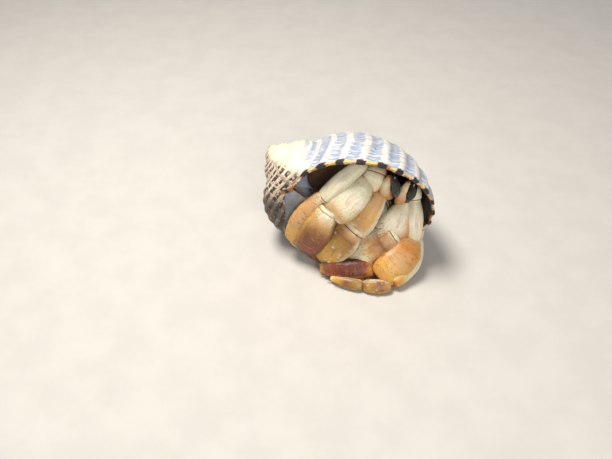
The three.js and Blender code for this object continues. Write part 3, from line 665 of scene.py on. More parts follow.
def shell_material(settings):
    paint = Finish("ribbed shell")
    cord, turn = paint.carried("cord"), paint.carried("turn")
    inside, behind = paint.carried("inside"), paint.carried("behind_lip")
    x, y, z = paint.part_of_place()
    wobble = paint.times(paint.minus(paint.noise(420, 2), 0.5), 0.3)
    wave = paint.math("COSINE", paint.times(paint.plus(cord, wobble), 2 * math.pi))
    crest = paint.step(wave, 0.0, 0.85, 0, 0.9)
    slant = paint.plus(paint.times(turn, 210), paint.times(cord, 2.6))
    lines = paint.noise(1.0, 3, paint.vector(paint.times(cord, 1.3), slant))
    flecks = paint.noise(1.0, 4, paint.vector(paint.times(cord, 2.6),
                                              paint.times(turn, 60)))
    spots = paint.noise(900, 3)
    groove = paint.mix(paint.step(lines, 0.46, 0.62, 0.12, 0.75), settings.groove, settings.cord)
    groove = paint.mix(paint.step(flecks, 0.6, 0.7, 0, 0.45), groove, settings.dark_fleck_and_shade)
    ridge = paint.mix(paint.step(spots, 0.45, 0.7, 0, 0.7), settings.cord, settings.flank)
    ridge = paint.mix(paint.step(lines, 0.5, 0.36, 0, 0.4), ridge, settings.groove)
    shade = paint.mix(crest, groove, ridge)

    side = paint.times(paint.step(x, -0.0052, -0.0082), paint.step(z, 0.0176, 0.0166))
    dashes = paint.noise(1.0, 2, paint.vector(paint.times(cord, 1.9),
                                              paint.times(turn, 64), 4.0))
    dark_dash = paint.times(paint.step(wave, 0.55, 0.05), paint.step(dashes, 0.42, 0.5))
    flank = paint.mix(paint.step(lines, 0.4, 0.7), settings.flank, settings.cord)
    flank = paint.mix(paint.step(spots, 0.5, 0.72, 0, 0.6), flank, settings.spire)
    flank = paint.mix(paint.times(dark_dash, 0.95), flank, settings.dash)
    shade = paint.mix(side, shade, flank)

    # painted shade: the low left side of the shell lies in shadow, so it is painted dark grey with dark
    # dashes along the grooves
    low = paint.times(paint.step(z, 0.0135, 0.0095), paint.step(x, 0.001, -0.006))
    shaded_underside = paint.mix(paint.step(wave, 0.45, -0.35), settings.dark_fleck_and_shade, settings.dash)
    shaded_underside = paint.mix(paint.step(flecks, 0.55, 0.66, 0, 0.5), shaded_underside, settings.flank)
    shade = paint.mix(paint.times(low, 0.92), shade, shaded_underside)
    patch = paint.times(paint.step(paint.noise(330, 2), 0.6, 0.66), paint.step(z, 0.013, 0.009))
    patch = paint.times(patch, paint.step(x, -0.003, -0.007))
    shade = paint.mix(paint.times(patch, 0.6), shade, settings.stain)

    worn = paint.plus(z, paint.times(paint.minus(paint.noise(260, 2), 0.5), 0.004))
    worn = paint.times(paint.step(worn, 0.0158, 0.0172), paint.step(x, -0.0055, -0.0085))
    shade = paint.mix(paint.times(worn, 0.88), shade, settings.spire)

    front = paint.step(turn, 0.3, 0.22)
    ragged = paint.times(paint.minus(paint.noise(1100, 3), 0.5), 1.1)
    edge = paint.times(paint.step(paint.plus(behind, ragged), 0.85, 0.5), front)
    spot = paint.step(paint.plus(wave, paint.times(ragged, 1.2)), 0.0, 0.3)
    tooth = paint.mix(paint.step(paint.noise(240, 1), 0.46, 0.56), settings.rim, settings.flank)
    tooth = paint.mix(paint.step(paint.noise(420, 2), 0.54, 0.62, 0, 0.8), tooth, settings.stain)
    lip = paint.mix(spot, tooth, settings.dash)
    shade = paint.mix(edge, shade, lip)
    base = paint.times(paint.step(behind, 0.6, 0.2), paint.step(turn, 0.1, 0.12))
    slope = paint.minus(z, paint.times(x, 0.54))
    callus = paint.times(base, paint.step(x, -0.0099, -0.0095))
    callus = paint.times(callus, paint.step(slope, 0.0187, 0.0183))
    glaze = paint.mix(paint.step(paint.noise(300, 3), 0.3, 0.75, 0.45, 0.9), settings.inner, settings.dark_fleck_and_shade)
    shade = paint.mix(paint.times(callus, 0.9), shade, glaze)
    rim = paint.step(paint.math("ABSOLUTE", paint.minus(slope, 0.0187)), 0.0006, 0.0003)
    rim = paint.times(paint.times(rim, base), paint.step(x, -0.0108, -0.01))
    rim_shade = paint.mix(paint.step(paint.noise(900, 1), 0.46, 0.52), settings.stain, settings.dash)
    shade = paint.mix(rim, shade, rim_shade)

    mouth_wall = paint.mix(paint.step(paint.noise(300, 3), 0.3, 0.75, 0, 0.35), settings.inner, settings.cord)
    # painted shade: right of the middle the inner wall is painted near black, standing for the shadow under
    # the lip
    shadowed_inside = paint.step(x, -0.002, 0.003)
    mouth_wall = paint.mix(paint.times(shadowed_inside, 0.9), mouth_wall, settings.dash)
    teeth = paint.mix(paint.step(wave, -0.1, 0.3), settings.stain, settings.dash)
    mouth = paint.mix(paint.step(behind, 0.25, 1.3), teeth, mouth_wall)
    shade = paint.mix(inside, shade, mouth)

    height = paint.plus(paint.times(lines, 0.8), paint.times(spots, 0.4))
    height = paint.times(height, paint.minus(1.15, inside))
    normal = paint.relief(height, 0.6, 0.00014)
    rough = paint.step(spots, 0.3, 0.7, 0.42, 0.62)
    return paint.finish(shade, rough, normal)


WHORL_RUNS = (                                     # first and last turn, and the step between rings
    (90, 300, 3.0), (300, 600, 4.0), (600, 900, 6.0), (900, LAST_TURN, 8.0))
PILLAR_SIDES = 12
PILLAR_SPAN = (-22, 0)                             # its lower and upper end, up the axis from the tip
CHAMBER_PILLAR_SPAN = (-21, -10)                   # the part of the rod left open in the chamber
CUTTER_REACH = 26
CUTTER_DEPTH = 30


def build_shell(context):
    settings = context.scene.crab_shell
    cords = settings.cords
    sides = cords * CORD_SIDES
    height = settings.cord_height / MM

    def ribbed(turns, angle):
        wave = 0.5 + 0.5 * np.cos(cords * angle)
        swell = 0.06 * np.sin(np.radians(turns) * 9 + 3 * np.sin(angle * 2))
        return height * wave ** 0.8 * (1 + swell)

    mouth_turns = np.arange(-MOUTH_SWEEP, HALF_TURN + 1, 3.0)
    front = solid(whorl_points(mouth_turns, sides, ribbed))
    joined = []
    for first, last, step in WHORL_RUNS:
        turns = np.arange(first, last + 0.1, step)
        coarse = sides if first < 600 else sides // 2
        joined.append(solid(pressed_back(whorl_points(turns, coarse, ribbed))))
    angle = -2 * math.pi * np.arange(PILLAR_SIDES) / PILLAR_SIDES
    across, back = PILLAR_RADIUS * np.cos(angle), PILLAR_RADIUS * np.sin(angle)
    rods = [np.array([shell_point(across, back, np.full(PILLAR_SIDES, up)) for up in span])
            for span in (PILLAR_SPAN, CHAMBER_PILLAR_SPAN)]

    chamber_turns = np.arange(-MOUTH_SWEEP, CHAMBER_DEPTH + 1, 3.0)
    full = whorl_points(chamber_turns, cords * 6, lambda turns, angle: 0 * turns * angle)
    wall = wall_at(ahead_of_mouth(full))
    hollow = whorl_points(chamber_turns, cords * 6, lambda turns, angle: -wall)
    chamber = combined(solid(hollow), [slab(FLOOR_WALL)], "DIFFERENCE")

    cut = mouth_cutter(cords, settings.scallop / MM)
    front = combined(front, [cut], "DIFFERENCE")
    whole = combined(front, [*joined, solid(rods[0])], "UNION")
    notch = solid(loft_rings(SHELF_NOTCH, 24, 32)[0])
    whole = combined(whole, [chamber, solid(rods[1]), notch, slab(0.0)], "DIFFERENCE")
    whole = largest_island(whole)
    whole.name = "shell_whorls"
    whole.data.name = "shell_whorls"
    mark_shell(whole.data, cords)
    shade_soft(whole.data, 55)
    whole.data.materials.clear()
    whole.data.materials.append(shell_material(settings))
    return stand_for(whole, "shell")


def slab(top):
    """A block of everything below a level."""
    square = ((-60, 60), (60, 60), (60, -60), (-60, -60))
    return solid(np.array([[(x, y, level) for x, y in square] for level in (-40.0, top)]))


def mouth_cutter(cords, scallop):
    """A block in front of the mouth, whose back is scalloped at every cord."""
    count = 150
    reach = np.linspace(-CUTTER_REACH, CUTTER_REACH, count)
    beside = np.cross(MOUTH_NORMAL, AXIS_UP)
    beside = beside / np.linalg.norm(beside)
    above = np.cross(beside, MOUTH_NORMAL)
    face = MOUTH_POINT + np.multiply.outer(reach, above)[:, None] + np.multiply.outer(reach, beside)
    _, wide, tall = where_on_whorl(face.reshape(-1, 3), 0)
    angle = np.arctan2(tall / HALF_HEIGHT, wide / HALF_WIDTH)
    wave = scallop * (0.5 - 0.5 * np.cos(cords * angle)) + 0.1 * waves(face.reshape(-1, 3), 5.0, 3)
    face = face + wave.reshape(count, count)[..., None] * MOUTH_NORMAL
    far = face - CUTTER_DEPTH * MOUTH_NORMAL
    points = np.vstack([face.reshape(-1, 3), far.reshape(-1, 3)])
    faces = []
    for i in range(count - 1):
        for j in range(count - 1):
            here = i * count + j
            quad = (here + count, here + count + 1, here + 1, here)
            faces.append(quad)
            faces.append(tuple(count * count + k for k in reversed(quad)))
    rim = [*range(count), *(i * count + count - 1 for i in range(1, count)),
           *((count - 1) * count + j for j in range(count - 2, -1, -1)),
           *(i * count for i in range(count - 2, 0, -1))]
    for here, after in zip(rim, rim[1:] + rim[:1]):
        faces.append((here, after, after + count * count, here + count * count))
    return new_piece("mouth cutter", points, faces, None)


def merge_near_points(work, distance):
    """Merges points that all but coincide, wherever the mesh stays closed."""
    short = [edge for edge in work.edges if edge.calc_length() < distance]
    for edge in sorted(short, key=lambda edge: edge.calc_length()):
        if not edge.is_valid or len(edge.link_faces) != 2:
            continue
        first, second = edge.verts
        near_first = {link.other_vert(first) for link in first.link_edges}
        near_second = {link.other_vert(second) for link in second.link_edges}
        links = [*first.link_edges, *second.link_edges]
        if len(near_first & near_second) == 2 and all(len(link.link_faces) == 2 for link in links):
            bmesh.ops.pointmerge(work, verts=[first, second], merge_co=first.co.copy())


def largest_island(piece):
    """Keeps only the largest connected part of a mesh."""
    work = bmesh.new()
    work.from_mesh(piece.data)
    work.verts.ensure_lookup_table()
    seen = np.full(len(work.verts), -1)
    sizes = []
    for start in work.verts:
        if seen[start.index] >= 0:
            continue
        stack, label, size = [start], len(sizes), 0
        seen[start.index] = label
        while stack:
            point = stack.pop()
            size += 1
            for edge in point.link_edges:
                other = edge.other_vert(point)
                if seen[other.index] < 0:
                    seen[other.index] = label
                    stack.append(other)
        sizes.append(size)
    keep = int(np.argmax(sizes))
    bmesh.ops.delete(work, geom=[v for v in work.verts if seen[v.index] != keep], context="VERTS")
    bmesh.ops.triangulate(work, faces=work.faces, ngon_method="EAR_CLIP")
    merge_near_points(work, 1e-6)
    work.to_mesh(piece.data)
    work.free()
    return piece


# ---------------------------------------------------------------- segments of the crab

END_SQUARENESS = 4.5
SECTION_SQUARENESS = 2.5


def on_path(path, places):
    """Points of a smooth curve through the path's points, at places from 0 to 1."""
    count = len(path)
    padded = np.vstack([2 * path[0] - path[1], path, 2 * path[-1] - path[-2]])
    result = []
    for place in places:
        spot = min(max(place, 0.0), 1.0) * (count - 1)
        index = min(int(spot), count - 2)
        share = spot - index
        a, b, c, d = padded[index:index + 4]
        before, middle, after = (
            max(np.linalg.norm(q - p), 1e-9) ** 0.5 for p, q in ((a, b), (b, c), (c, d)))
        start = ((b - a) / before - (c - a) / (before + middle) + (c - b) / middle) * middle
        end = ((c - b) / middle - (d - b) / (middle + after) + (d - c) / after) * middle
        third = -3 * b + 3 * c - 2 * start - end
        fourth = 2 * b - 2 * c + start + end
        result.append(b + share * (start + share * (third + share * fourth)))
    return np.array(result)


def loft_rings(segment, rings, sides, squareness=SECTION_SQUARENESS):
    """Rings of a closed loft, with how far along each lies and where round it each corner is."""
    along = 0.5 - 0.5 * np.cos(math.pi * (np.arange(rings) + 0.5) / rings)
    centre = on_path(segment.path, along)
    tangent = on_path(segment.path, along + 1e-3) - on_path(segment.path, along - 1e-3)
    tangent /= np.linalg.norm(tangent, axis=1)[:, None]
    normal = segment.facing - (tangent @ segment.facing)[:, None] * tangent
    normal /= np.linalg.norm(normal, axis=1)[:, None]
    side = np.cross(tangent, normal)
    blunt = (1 - np.abs(2 * along - 1) ** END_SQUARENESS) ** (1 / END_SQUARENESS)
    places = np.linspace(0, 1, len(segment.width)), np.linspace(0, 1, len(segment.depth))
    half_width = np.interp(along, places[0], segment.width) * blunt / 2
    half_depth = np.interp(along, places[1], segment.depth) * blunt / 2
    angle = 2 * math.pi * np.arange(sides) / sides
    power = 2 / squareness
    across = np.sign(np.cos(angle)) * np.abs(np.cos(angle)) ** power
    out = np.sign(np.sin(angle)) * np.abs(np.sin(angle)) ** power
    points = (centre[:, None]
              + (half_width[:, None] * across)[..., None] * side[:, None]
              + (half_depth[:, None] * out)[..., None] * normal[:, None])
    return points, centre, along, angle


class Look:
    """How one segment is finished: colours along it, colours of its two margins, grain and relief.

    along     stops of place and colour down the middle
    first     colour and width of the margin on its own left
    second    colour and width of the other margin
    streaks   colour and strength of fine lines along it
    wrinkles  colour and strength of fine lines across it
    specks    colour and strength of small dots of pigment
    grains    number, radius in mm and height in mm of the granules, and the colour of their tops
    bands     rings round it: place along it, half width in mm, colour and height in mm
    """

    def __init__(self, along, first=("white", 0.3), second=("white", 0.3), streaks=("tan", 0.2),
                 wrinkles=("tan", 0.15), specks=("brown", 0.25), grains=(0, 0.2, 0.1, "white"),
                 grain_span=(0.05, 0.95), bands=(), gloss=0.36, ends=0.75):
        self.along = along
        self.first = first
        self.second = second
        self.streaks = streaks
        self.wrinkles = wrinkles
        self.specks = specks
        self.grains = grains
        self.grain_span = grain_span
        self.bands = bands
        self.gloss = gloss
        # ends is the strength of the painted shade at both ends of the segment
        self.ends = ends


PALE = Look([(0, "cream"), (0.5, "green"), (1, "cream")], streaks=("pink", 0.3), specks=("tan", 0.4),
            grains=(40, 0.15, 0.05, "white"))
TANNED = Look([(0, "tan"), (0.5, "orange"), (1, "brown")], first=("tan", 0.3), second=("tan", 0.3))
PALM = Look([(0, "ochre"), (0.5, "tan"), (1, "cream")], grains=(60, 0.18, 0.09, "white"))
# the mouthparts and feeler bases sit in shade under the lip: their near-black end and dark green are
# painted shade over their own green
SHADED_GREEN = Look([(0, "dark"), (0.5, "shaded_moss"), (1, "green")], first=("shaded_moss", 0.4), second=("dark", 0.4),
           streaks=("green", 0.5))

LOOKS = {
    # the white of the first margin, along the upper ridge, is partly pale cuticle and partly painted
    # highlight
    "second_leg_right_merus": Look(
        [(0, "cream"), (0.2, "green"), (0.45, "white"), (0.68, "cream"), (0.85, "tan"), (1, "white")],
        first=("white", 0.4), second=("tan", 0.4), streaks=("pink", 0.45), wrinkles=("tan", 0.25),
        specks=("brown", 0.5), grains=(60, 0.16, 0.05, "cream"), bands=((0.955, 0.16, "dark", -0.1),)),
    "second_leg_right_ischium": Look(
        [(0, "tan"), (0.5, "cream"), (1, "cream")], first=("white", 0.5), second=("tan", 0.5),
        bands=((0.45, 0.08, "brown", -0.08), (0.6, 0.22, "white", 0.08), (0.9, 0.1, "brown", -0.1))),
    # the white at the upper end is partly cream cuticle and partly painted highlight
    "second_leg_right_carpus": Look(
        [(0, "white"), (0.14, "cream"), (0.28, "tan"), (0.42, "brown"), (0.62, "rust"), (0.85, "rust"),
         (1, "red")],
        first=("yellow", 0.8), second=("brown", 0.35), streaks=("brown", 0.3), wrinkles=("orange", 0.3),
        specks=("red", 0.8), grains=(170, 0.13, 0.07, "orange"), grain_span=(0.3, 0.97),
        bands=((0.03, 0.2, "cream", 0.05), (0.075, 0.06, "dark", -0.08))),
    "third_leg_right_merus": Look(
        [(0, "cream"), (0.5, "white"), (1, "cream")], first=("cream", 0.3), second=("green", 0.6),
        streaks=("tan", 0.35), bands=((0.94, 0.14, "brown", -0.1),)),
    "third_leg_right_carpus": Look(
        [(0, "cream"), (0.2, "tan"), (0.5, "tan"), (0.72, "yellow"), (0.88, "yellow"), (1, "orange")],
        first=("yellow", 0.6), second=("brown", 0.5), streaks=("pink", 0.6), wrinkles=("rust", 0.5),
        specks=("rust", 0.6), grains=(60, 0.15, 0.06, "tan")),
    "cheliped_right_merus": Look(
        [(0, "tan"), (0.25, "tan"), (0.5, "yellow"), (0.75, "tan"), (0.92, "cream"), (1, "white")],
        first=("cream", 0.45), second=("white", 0.55), streaks=("tan", 0.4), specks=("brown", 0.4),
        grains=(60, 0.16, 0.06, "cream"), bands=((0.9, 0.22, "cream", 0.1), (0.965, 0.1, "brown", -0.12))),
    "cheliped_right_carpus": Look(
        [(0, "cream"), (0.14, "tan"), (0.27, "brown"), (0.45, "ochre"), (0.75, "yellow"), (1, "ochre")],
        first=("yellow", 0.5), second=("cream", 0.55), streaks=("brown", 0.5), wrinkles=("brown", 0.3),
        specks=("brown", 0.6), grains=(50, 0.24, 0.12, "white"), grain_span=(0.3, 0.95),
        bands=((0.05, 0.24, "cream", 0.09), (0.105, 0.07, "dark", -0.12), (0.15, 0.2, "pink", 0.02))),
    "second_leg_left_merus": Look(
        [(0, "green"), (0.5, "white"), (1, "cream")], first=("cream", 0.3), second=("white", 0.4),
        streaks=("pink", 0.5), specks=("tan", 0.4)),
    "second_leg_left_ischium": Look(
        [(0, "cream"), (0.5, "white"), (1, "cream")], first=("cream", 0.3), second=("white", 0.4),
        bands=((0.85, 0.12, "brown", -0.1),)),
    "second_leg_left_carpus": Look(
        [(0, "cream"), (0.1, "tan"), (0.3, "orange"), (0.55, "tan"), (0.8, "yellow"), (1, "orange")],
        first=("orange", 0.4), second=("yellow", 0.6), streaks=("tan", 0.35), wrinkles=("rust", 0.4),
        specks=("rust", 0.8), grains=(90, 0.16, 0.06, "yellow"), grain_span=(0.35, 0.97)),
    "second_leg_left_propodus": Look(
        [(0, "orange"), (0.1, "orange"), (0.18, "rust"), (0.32, "red"), (0.55, "red"), (0.72, "rust"),
         (0.9, "brown"), (1, "tan")],
        first=("rust", 0.3), second=("orange", 0.5), streaks=("rust", 0.5), specks=("dark", 0.5),
        grains=(190, 0.15, 0.11, "rust"), grain_span=(0.06, 0.95), gloss=0.5,
        ends=0.3, bands=((0.045, 0.26, "orange", 0.12),)),
    "third_leg_left_carpus": Look(
        [(0, "cream"), (0.5, "white"), (0.72, "cream"), (0.86, "yellow"), (1, "orange")],
        first=("cream", 0.3), second=("yellow", 0.5), streaks=("tan", 0.35), specks=("tan", 0.4), ends=0.3),
    "third_leg_left_merus": PALE,
    # painted shadow: the brown and ochre of this propodus stand for the shadow that the second left
    # propodus casts on it
    "third_leg_left_propodus": Look(
        [(0, "tan"), (0.4, "brown"), (0.8, "ochre"), (1, "brown")],
        first=("cream", 0.5), second=("yellow", 0.45), streaks=("rust", 0.4), specks=("rust", 0.4),
        grains=(40, 0.13, 0.06, "cream"), ends=0.2),
    "third_leg_left_dactyl": Look(
        [(0, "ochre"), (0.5, "brown"), (0.85, "yellow"), (1, "cream")], first=("cream", 0.4),
        second=("ochre", 0.4), streaks=("rust", 0.4), ends=0.2),
    "cheliped_left_merus": Look(
        [(0, "cream"), (0.3, "green"), (0.6, "white"), (0.9, "cream"), (1, "white")], first=("green", 0.5),
        second=("orange", 0.95), streaks=("pink", 0.45), specks=("brown", 0.4),
        grains=(40, 0.16, 0.06, "cream"), bands=((0.9, 0.22, "white", 0.1), (0.96, 0.12, "dark", -0.12))),
    # the white at the upper end, by the joint, is partly pale cuticle and partly painted highlight
    "cheliped_left_carpus": Look(
        [(0, "white"), (0.1, "cream"), (0.17, "tan"), (0.32, "brown"), (0.52, "tan"), (0.72, "cream"),
         (1, "green")],
        first=("white", 0.75), second=("ochre", 0.55), streaks=("rust", 0.4), wrinkles=("brown", 0.3),
        specks=("brown", 0.7), grains=(60, 0.18, 0.07, "tan"), grain_span=(0.2, 0.95),
        bands=((0.04, 0.22, "cream", 0.08), (0.09, 0.07, "dark", -0.12))),
    "cheliped_right_palm": PALM,
    "cheliped_left_palm": PALM,
    "cheliped_right_finger": PALE,
    "cheliped_left_finger": PALE,
    "second_leg_right_propodus": Look(
        [(0, "rust"), (0.5, "red"), (1, "orange")], grains=(40, 0.14, 0.07, "orange")),
    "second_leg_right_dactyl": TANNED,
    "third_leg_right_propodus": Look(
        [(0, "yellow"), (0.5, "rust"), (1, "orange")], grains=(40, 0.14, 0.07, "orange")),
    "third_leg_right_dactyl": TANNED,
    "second_leg_left_dactyl": TANNED,
    # painted shade: the dark front end and dark margins of the carapace stand for the shadow under the lip,
    # over its own brown and flesh
    "carapace": Look([(0, "dark"), (0.4, "brown"), (1, "flesh")], first=("dark", 0.6), second=("dark", 0.6),
                     grains=(60, 0.2, 0.05, "brown")),
    "fourth_leg_right": PALE,
    "fourth_leg_left": PALE,
    "antenna_base_right": SHADED_GREEN,
    "antenna_base_left": SHADED_GREEN,
    "antenna_whip_right": TANNED,
    "antenna_whip_left": TANNED,
    "antennule_right": SHADED_GREEN,
    "antennule_left": SHADED_GREEN,
    "maxilliped_right": SHADED_GREEN,
    "maxilliped_left": SHADED_GREEN,
}


def cuticle_material(name, segment, look, settings):
    """The cuticle of one segment: colours down its length, margins, lines, dots and granules."""
    def named(word):
        return getattr(settings, word)

    paint = Finish(name.replace("_", " ") + " cuticle")
    along, across, grain = paint.carried("along"), paint.carried("across"), paint.carried("grain")
    patchy = paint.noise(520, 3)
    shifted = paint.plus(along, paint.times(paint.minus(patchy, 0.5), 0.22))
    shade = paint.bands(shifted, [(where, named(word)) for where, word in look.along])
    wander = paint.times(paint.minus(paint.noise(700, 2), 0.5), 0.5)
    sideways = paint.plus(across, wander)
    for (word, width), sign in ((look.first, 1), (look.second, -1)):
        margin = paint.step(paint.times(sideways, sign), 1.02 - width, 1.12 - 0.35 * width)
        shade = paint.mix(paint.times(margin, 0.85), shade, named(word))
    bent = paint.times(paint.minus(paint.noise(650, 3), 0.5), 0.5)
    bent_along = paint.plus(along, paint.times(bent, 0.3))
    bent_across = paint.plus(across, bent)
    lengthwise = paint.noise(1.0, 4, paint.vector(paint.times(bent_across, 8),
                                                  paint.times(along, 3), 1.0))
    crosswise = paint.noise(1.0, 3, paint.vector(paint.times(bent_across, 1.4),
                                                 paint.times(bent_along, 30), 5.0))
    word, strength = look.streaks
    shade = paint.mix(paint.step(lengthwise, 0.46, 0.66, 0, strength), shade, named(word))
    word, strength = look.wrinkles
    shade = paint.mix(paint.step(crosswise, 0.52, 0.7, 0, strength), shade, named(word))
    word, strength = look.specks
    dots = paint.step(paint.cells(2600), 0.3, 0.16)
    dots = paint.times(dots, paint.step(paint.noise(800, 2), 0.45, 0.6))
    shade = paint.mix(paint.times(dots, strength), shade, named(word))
    shade = paint.mix(paint.times(grain, 0.7), shade, named(look.grains[3]))
    # painted shade: both side margins of every segment, which lie in the crevices between segments, are
    # darkened
    painted_crevice_shade = paint.step(paint.math("ABSOLUTE", across), 0.95, 1.0)
    shade = paint.mix(paint.times(painted_crevice_shade, 0.75), shade, named("dark"))
    path_length = np.linalg.norm(np.diff(segment.path, axis=0), axis=1).sum()
    for place, half, word, tall in look.bands:
        away = paint.math("ABSOLUTE", paint.minus(along, place))
        ring = paint.step(away, 1.25 * half / path_length, 0.45 * half / path_length)
        shade = paint.mix(paint.times(ring, 0.85 if tall < 0 else 0.6), shade, named(word))
    # painted shade: both ends of every segment, where it meets its neighbours, are darkened as much as the
    # look's ends asks
    ends = paint.math("MAXIMUM", paint.step(along, 0.035, 0.0), paint.step(along, 0.965, 1.0))
    shade = paint.mix(paint.times(ends, look.ends), shade, named("dark"))
    fine = paint.noise(3200, 2)
    height = paint.plus(paint.times(crosswise, 0.9), paint.times(fine, 0.5))
    normal = paint.relief(height, 0.35, 0.00008)
    rough = paint.step(patchy, 0.3, 0.7, look.gloss, look.gloss + 0.16)
    return paint.finish(shade, rough, normal, Subsurface_Weight=0.06, Subsurface_Scale=0.0006,
                        Subsurface_Radius=(1.0, 0.5, 0.25), Coat_Weight=0.12, Coat_Roughness=0.3)


def segment_mesh(segment, look, rings, sides, seed):
    """The fine surface of one segment, with its granules, wrinkles and raised rim."""
    points, centre, along, angle = loft_rings(segment, rings, sides)
    outward = points - centre[:, None]
    reach = np.linalg.norm(outward, axis=2, keepdims=True)
    outward = outward / np.maximum(reach, 1e-6)
    flat = points.reshape(-1, 3)
    length_of = np.linalg.norm(np.diff(segment.path, axis=0), axis=1).sum()
    thick = max(segment.depth)
    uneven = (0.05 * waves(flat, 4.0, seed) + 0.02 * waves(flat, 1.6, seed + 1)).reshape(rings, sides)
    raised = uneven * min(thick / 2.5, 1.0)
    for place, half, _, tall in look.bands:
        raised = raised + (tall * np.exp(-((along - place) * length_of / half) ** 2))[:, None]
    count, radius, tall, _ = look.grains
    grain = np.zeros(len(flat))
    if count:
        draw = np.random.default_rng(seed + 11)
        rows = np.interp(draw.uniform(*look.grain_span, count), along, np.arange(rings))
        columns = draw.integers(0, sides, count)
        tops = points[np.round(rows).astype(int), columns]
        sizes = radius * draw.uniform(0.6, 1.25, count)
        for top, size in zip(tops, sizes):
            away = ((flat - top) ** 2).sum(1) / size ** 2
            near = away < 6
            grain[near] = np.maximum(grain[near], np.exp(-1.6 * away[near]))
    raised = raised + tall * grain.reshape(rings, sides)
    taper = np.minimum(1.0, np.minimum(along, 1 - along) * length_of / 0.25)[:, None]
    points = points + outward * (raised * taper)[..., None]
    ends = on_path(segment.path, [0.0, 1.0])
    return (np.vstack([points.reshape(-1, 3), ends]), ring_faces(rings, sides),
            np.concatenate([np.repeat(along, sides), [0, 1]]),
            np.concatenate([np.tile(np.cos(angle), rings), [0, 0]]),
            np.concatenate([grain, [0, 0]]))


def closed_loft(name, rings, path, material):
    """A mesh from rings of points, closed with a point at each end of the path."""
    points = np.vstack([rings.reshape(-1, 3), on_path(path, [0.0, 1.0])])
    return new_piece(name, points, ring_faces(*rings.shape[:2]), material)


def build_segment(context, name):
    segment, look = SEGMENTS[name], LOOKS[name]
    large = max(segment.width) > 2.0
    rings, sides = (84, 80) if large else (44, 32)
    seed = sorted(SEGMENTS).index(name) * 31
    points, faces, along, across, grain = segment_mesh(segment, look, rings, sides, seed)
    points[:, 2] = np.maximum(points[:, 2], 0.0)
    material = cuticle_material(name, segment, look, context.scene.crab_cuticle)
    piece = new_piece("fine_" + name, points, faces, material)
    write_attribute(piece.data, "along", along)
    write_attribute(piece.data, "across", across)
    write_attribute(piece.data, "grain", grain)
    return stand_for(piece, name)


def named_with(*starts):
    return [name for name in SEGMENTS if name.startswith(starts)]


# ---------------------------------------------------------------- eyes and soft body

def eye_material(settings):
    paint = Finish("cornea")
    facets = paint.cells(9000)
    shade = paint.mix(paint.step(paint.noise(500, 2), 0.35, 0.75, 0, 0.6), settings.cornea, settings.sheen)
    normal = paint.relief(facets, 0.15, 0.00002)
    rough = paint.step(paint.noise(900, 2), 0.3, 0.7, 0.2, 0.3)
    return paint.finish(shade, rough, normal, Coat_Weight=0.35, Coat_Roughness=0.12)


def stalk_material(settings, cuticle):
    paint = Finish("eyestalk")
    along = paint.carried("along")
    # the cream band near the cornea end is painted highlight over the stalk's own colour
    stops = [(0, cuticle.flesh), (0.4, settings.stalk), (0.8, cuticle.cream), (1, settings.stalk)]
    shade = paint.bands(along, stops)
    shade = paint.mix(paint.step(paint.noise(900, 3), 0.45, 0.7, 0, 0.5), shade, cuticle.pink)
    normal = paint.relief(paint.noise(2600, 3), 0.3, 0.00006)
    return paint.finish(shade, paint.step(paint.noise(700, 2), 0.3, 0.7, 0.3, 0.45), normal,
                        Subsurface_Weight=0.15, Subsurface_Scale=0.0008, Coat_Weight=0.2)


def build_eye(context, name, material):
    segment = SEGMENTS[name]
    rings, sides = 56, 48
    points, _, along, _ = loft_rings(segment, rings, sides, 2.0)
    piece = closed_loft("fine_" + name, points, segment.path, material)
    write_attribute(piece.data, "along", np.concatenate([np.repeat(along, sides), [0, 1]]))
    return stand_for(piece, name)


def skin_material(settings):
    paint = Finish("soft skin")
    veins = paint.noise(600, 4)
    shade = paint.bands(veins, [(0.3, settings.flesh), (0.55, settings.pink), (0.75, settings.tan)])
    normal = paint.relief(paint.noise(1800, 3), 0.4, 0.0001)
    return paint.finish(shade, paint.step(veins, 0.3, 0.7, 0.28, 0.42), normal,
                        Subsurface_Weight=0.3, Subsurface_Scale=0.001)


def build_skin(context):
    """The soft body, one skin over the thorax and the coiled abdomen."""
    solids = []
    for name in ("thorax", "abdomen"):
        points, _, along, _ = loft_rings(SEGMENTS[name], 60, 48, 2.1)
        fold = 0.1 * np.cos(along * 60)[:, None, None] if name == "abdomen" else 0
        outward = points - points.mean(1, keepdims=True)
        reach = np.maximum(np.linalg.norm(outward, axis=2, keepdims=True), 1e-6)
        points = points + fold * outward / reach
        solids.append(closed_loft("soft " + name, points, SEGMENTS[name].path, None))
    skin = combined(solids[0], [solids[1]], "UNION")
    even = skin.modifiers.new("even", "REMESH")
    even.mode = "VOXEL"
    even.voxel_size = 0.22 * MM
    soft = skin.modifiers.new("soft", "SMOOTH")
    soft.iterations = 6
    view = bpy.context.evaluated_depsgraph_get()
    mesh = bpy.data.meshes.new_from_object(skin.evaluated_get(view))
    skin.modifiers.clear()
    skin.data = mesh
    skin.name = "soft_skin"
    mesh.shade_smooth()
    mesh.materials.clear()
    mesh.materials.append(skin_material(context.scene.crab_cuticle))
    return stand_for(skin, "thorax", "abdomen")


# ---------------------------------------------------------------- stiff hairs

HAIRY = {
    "second_leg_right_carpus": 70, "third_leg_right_carpus": 50, "cheliped_right_carpus": 50,
    "cheliped_left_carpus": 50, "second_leg_left_carpus": 60, "second_leg_left_propodus": 60,
    "third_leg_left_propodus": 24, "third_leg_left_dactyl": 24, "second_leg_right_merus": 30,
    "cheliped_right_merus": 30, "cheliped_left_merus": 24, "third_leg_left_carpus": 30,
    "second_leg_right_propodus": 16, "third_leg_right_propodus": 16, "cheliped_right_palm": 24,
    "cheliped_left_palm": 24,
}
HAIRS_IN_TUFT = 4
HAIR_GRID = 48                                     # rings and corners that hairs may stand on
PATCH = 0.003
TILES = 5


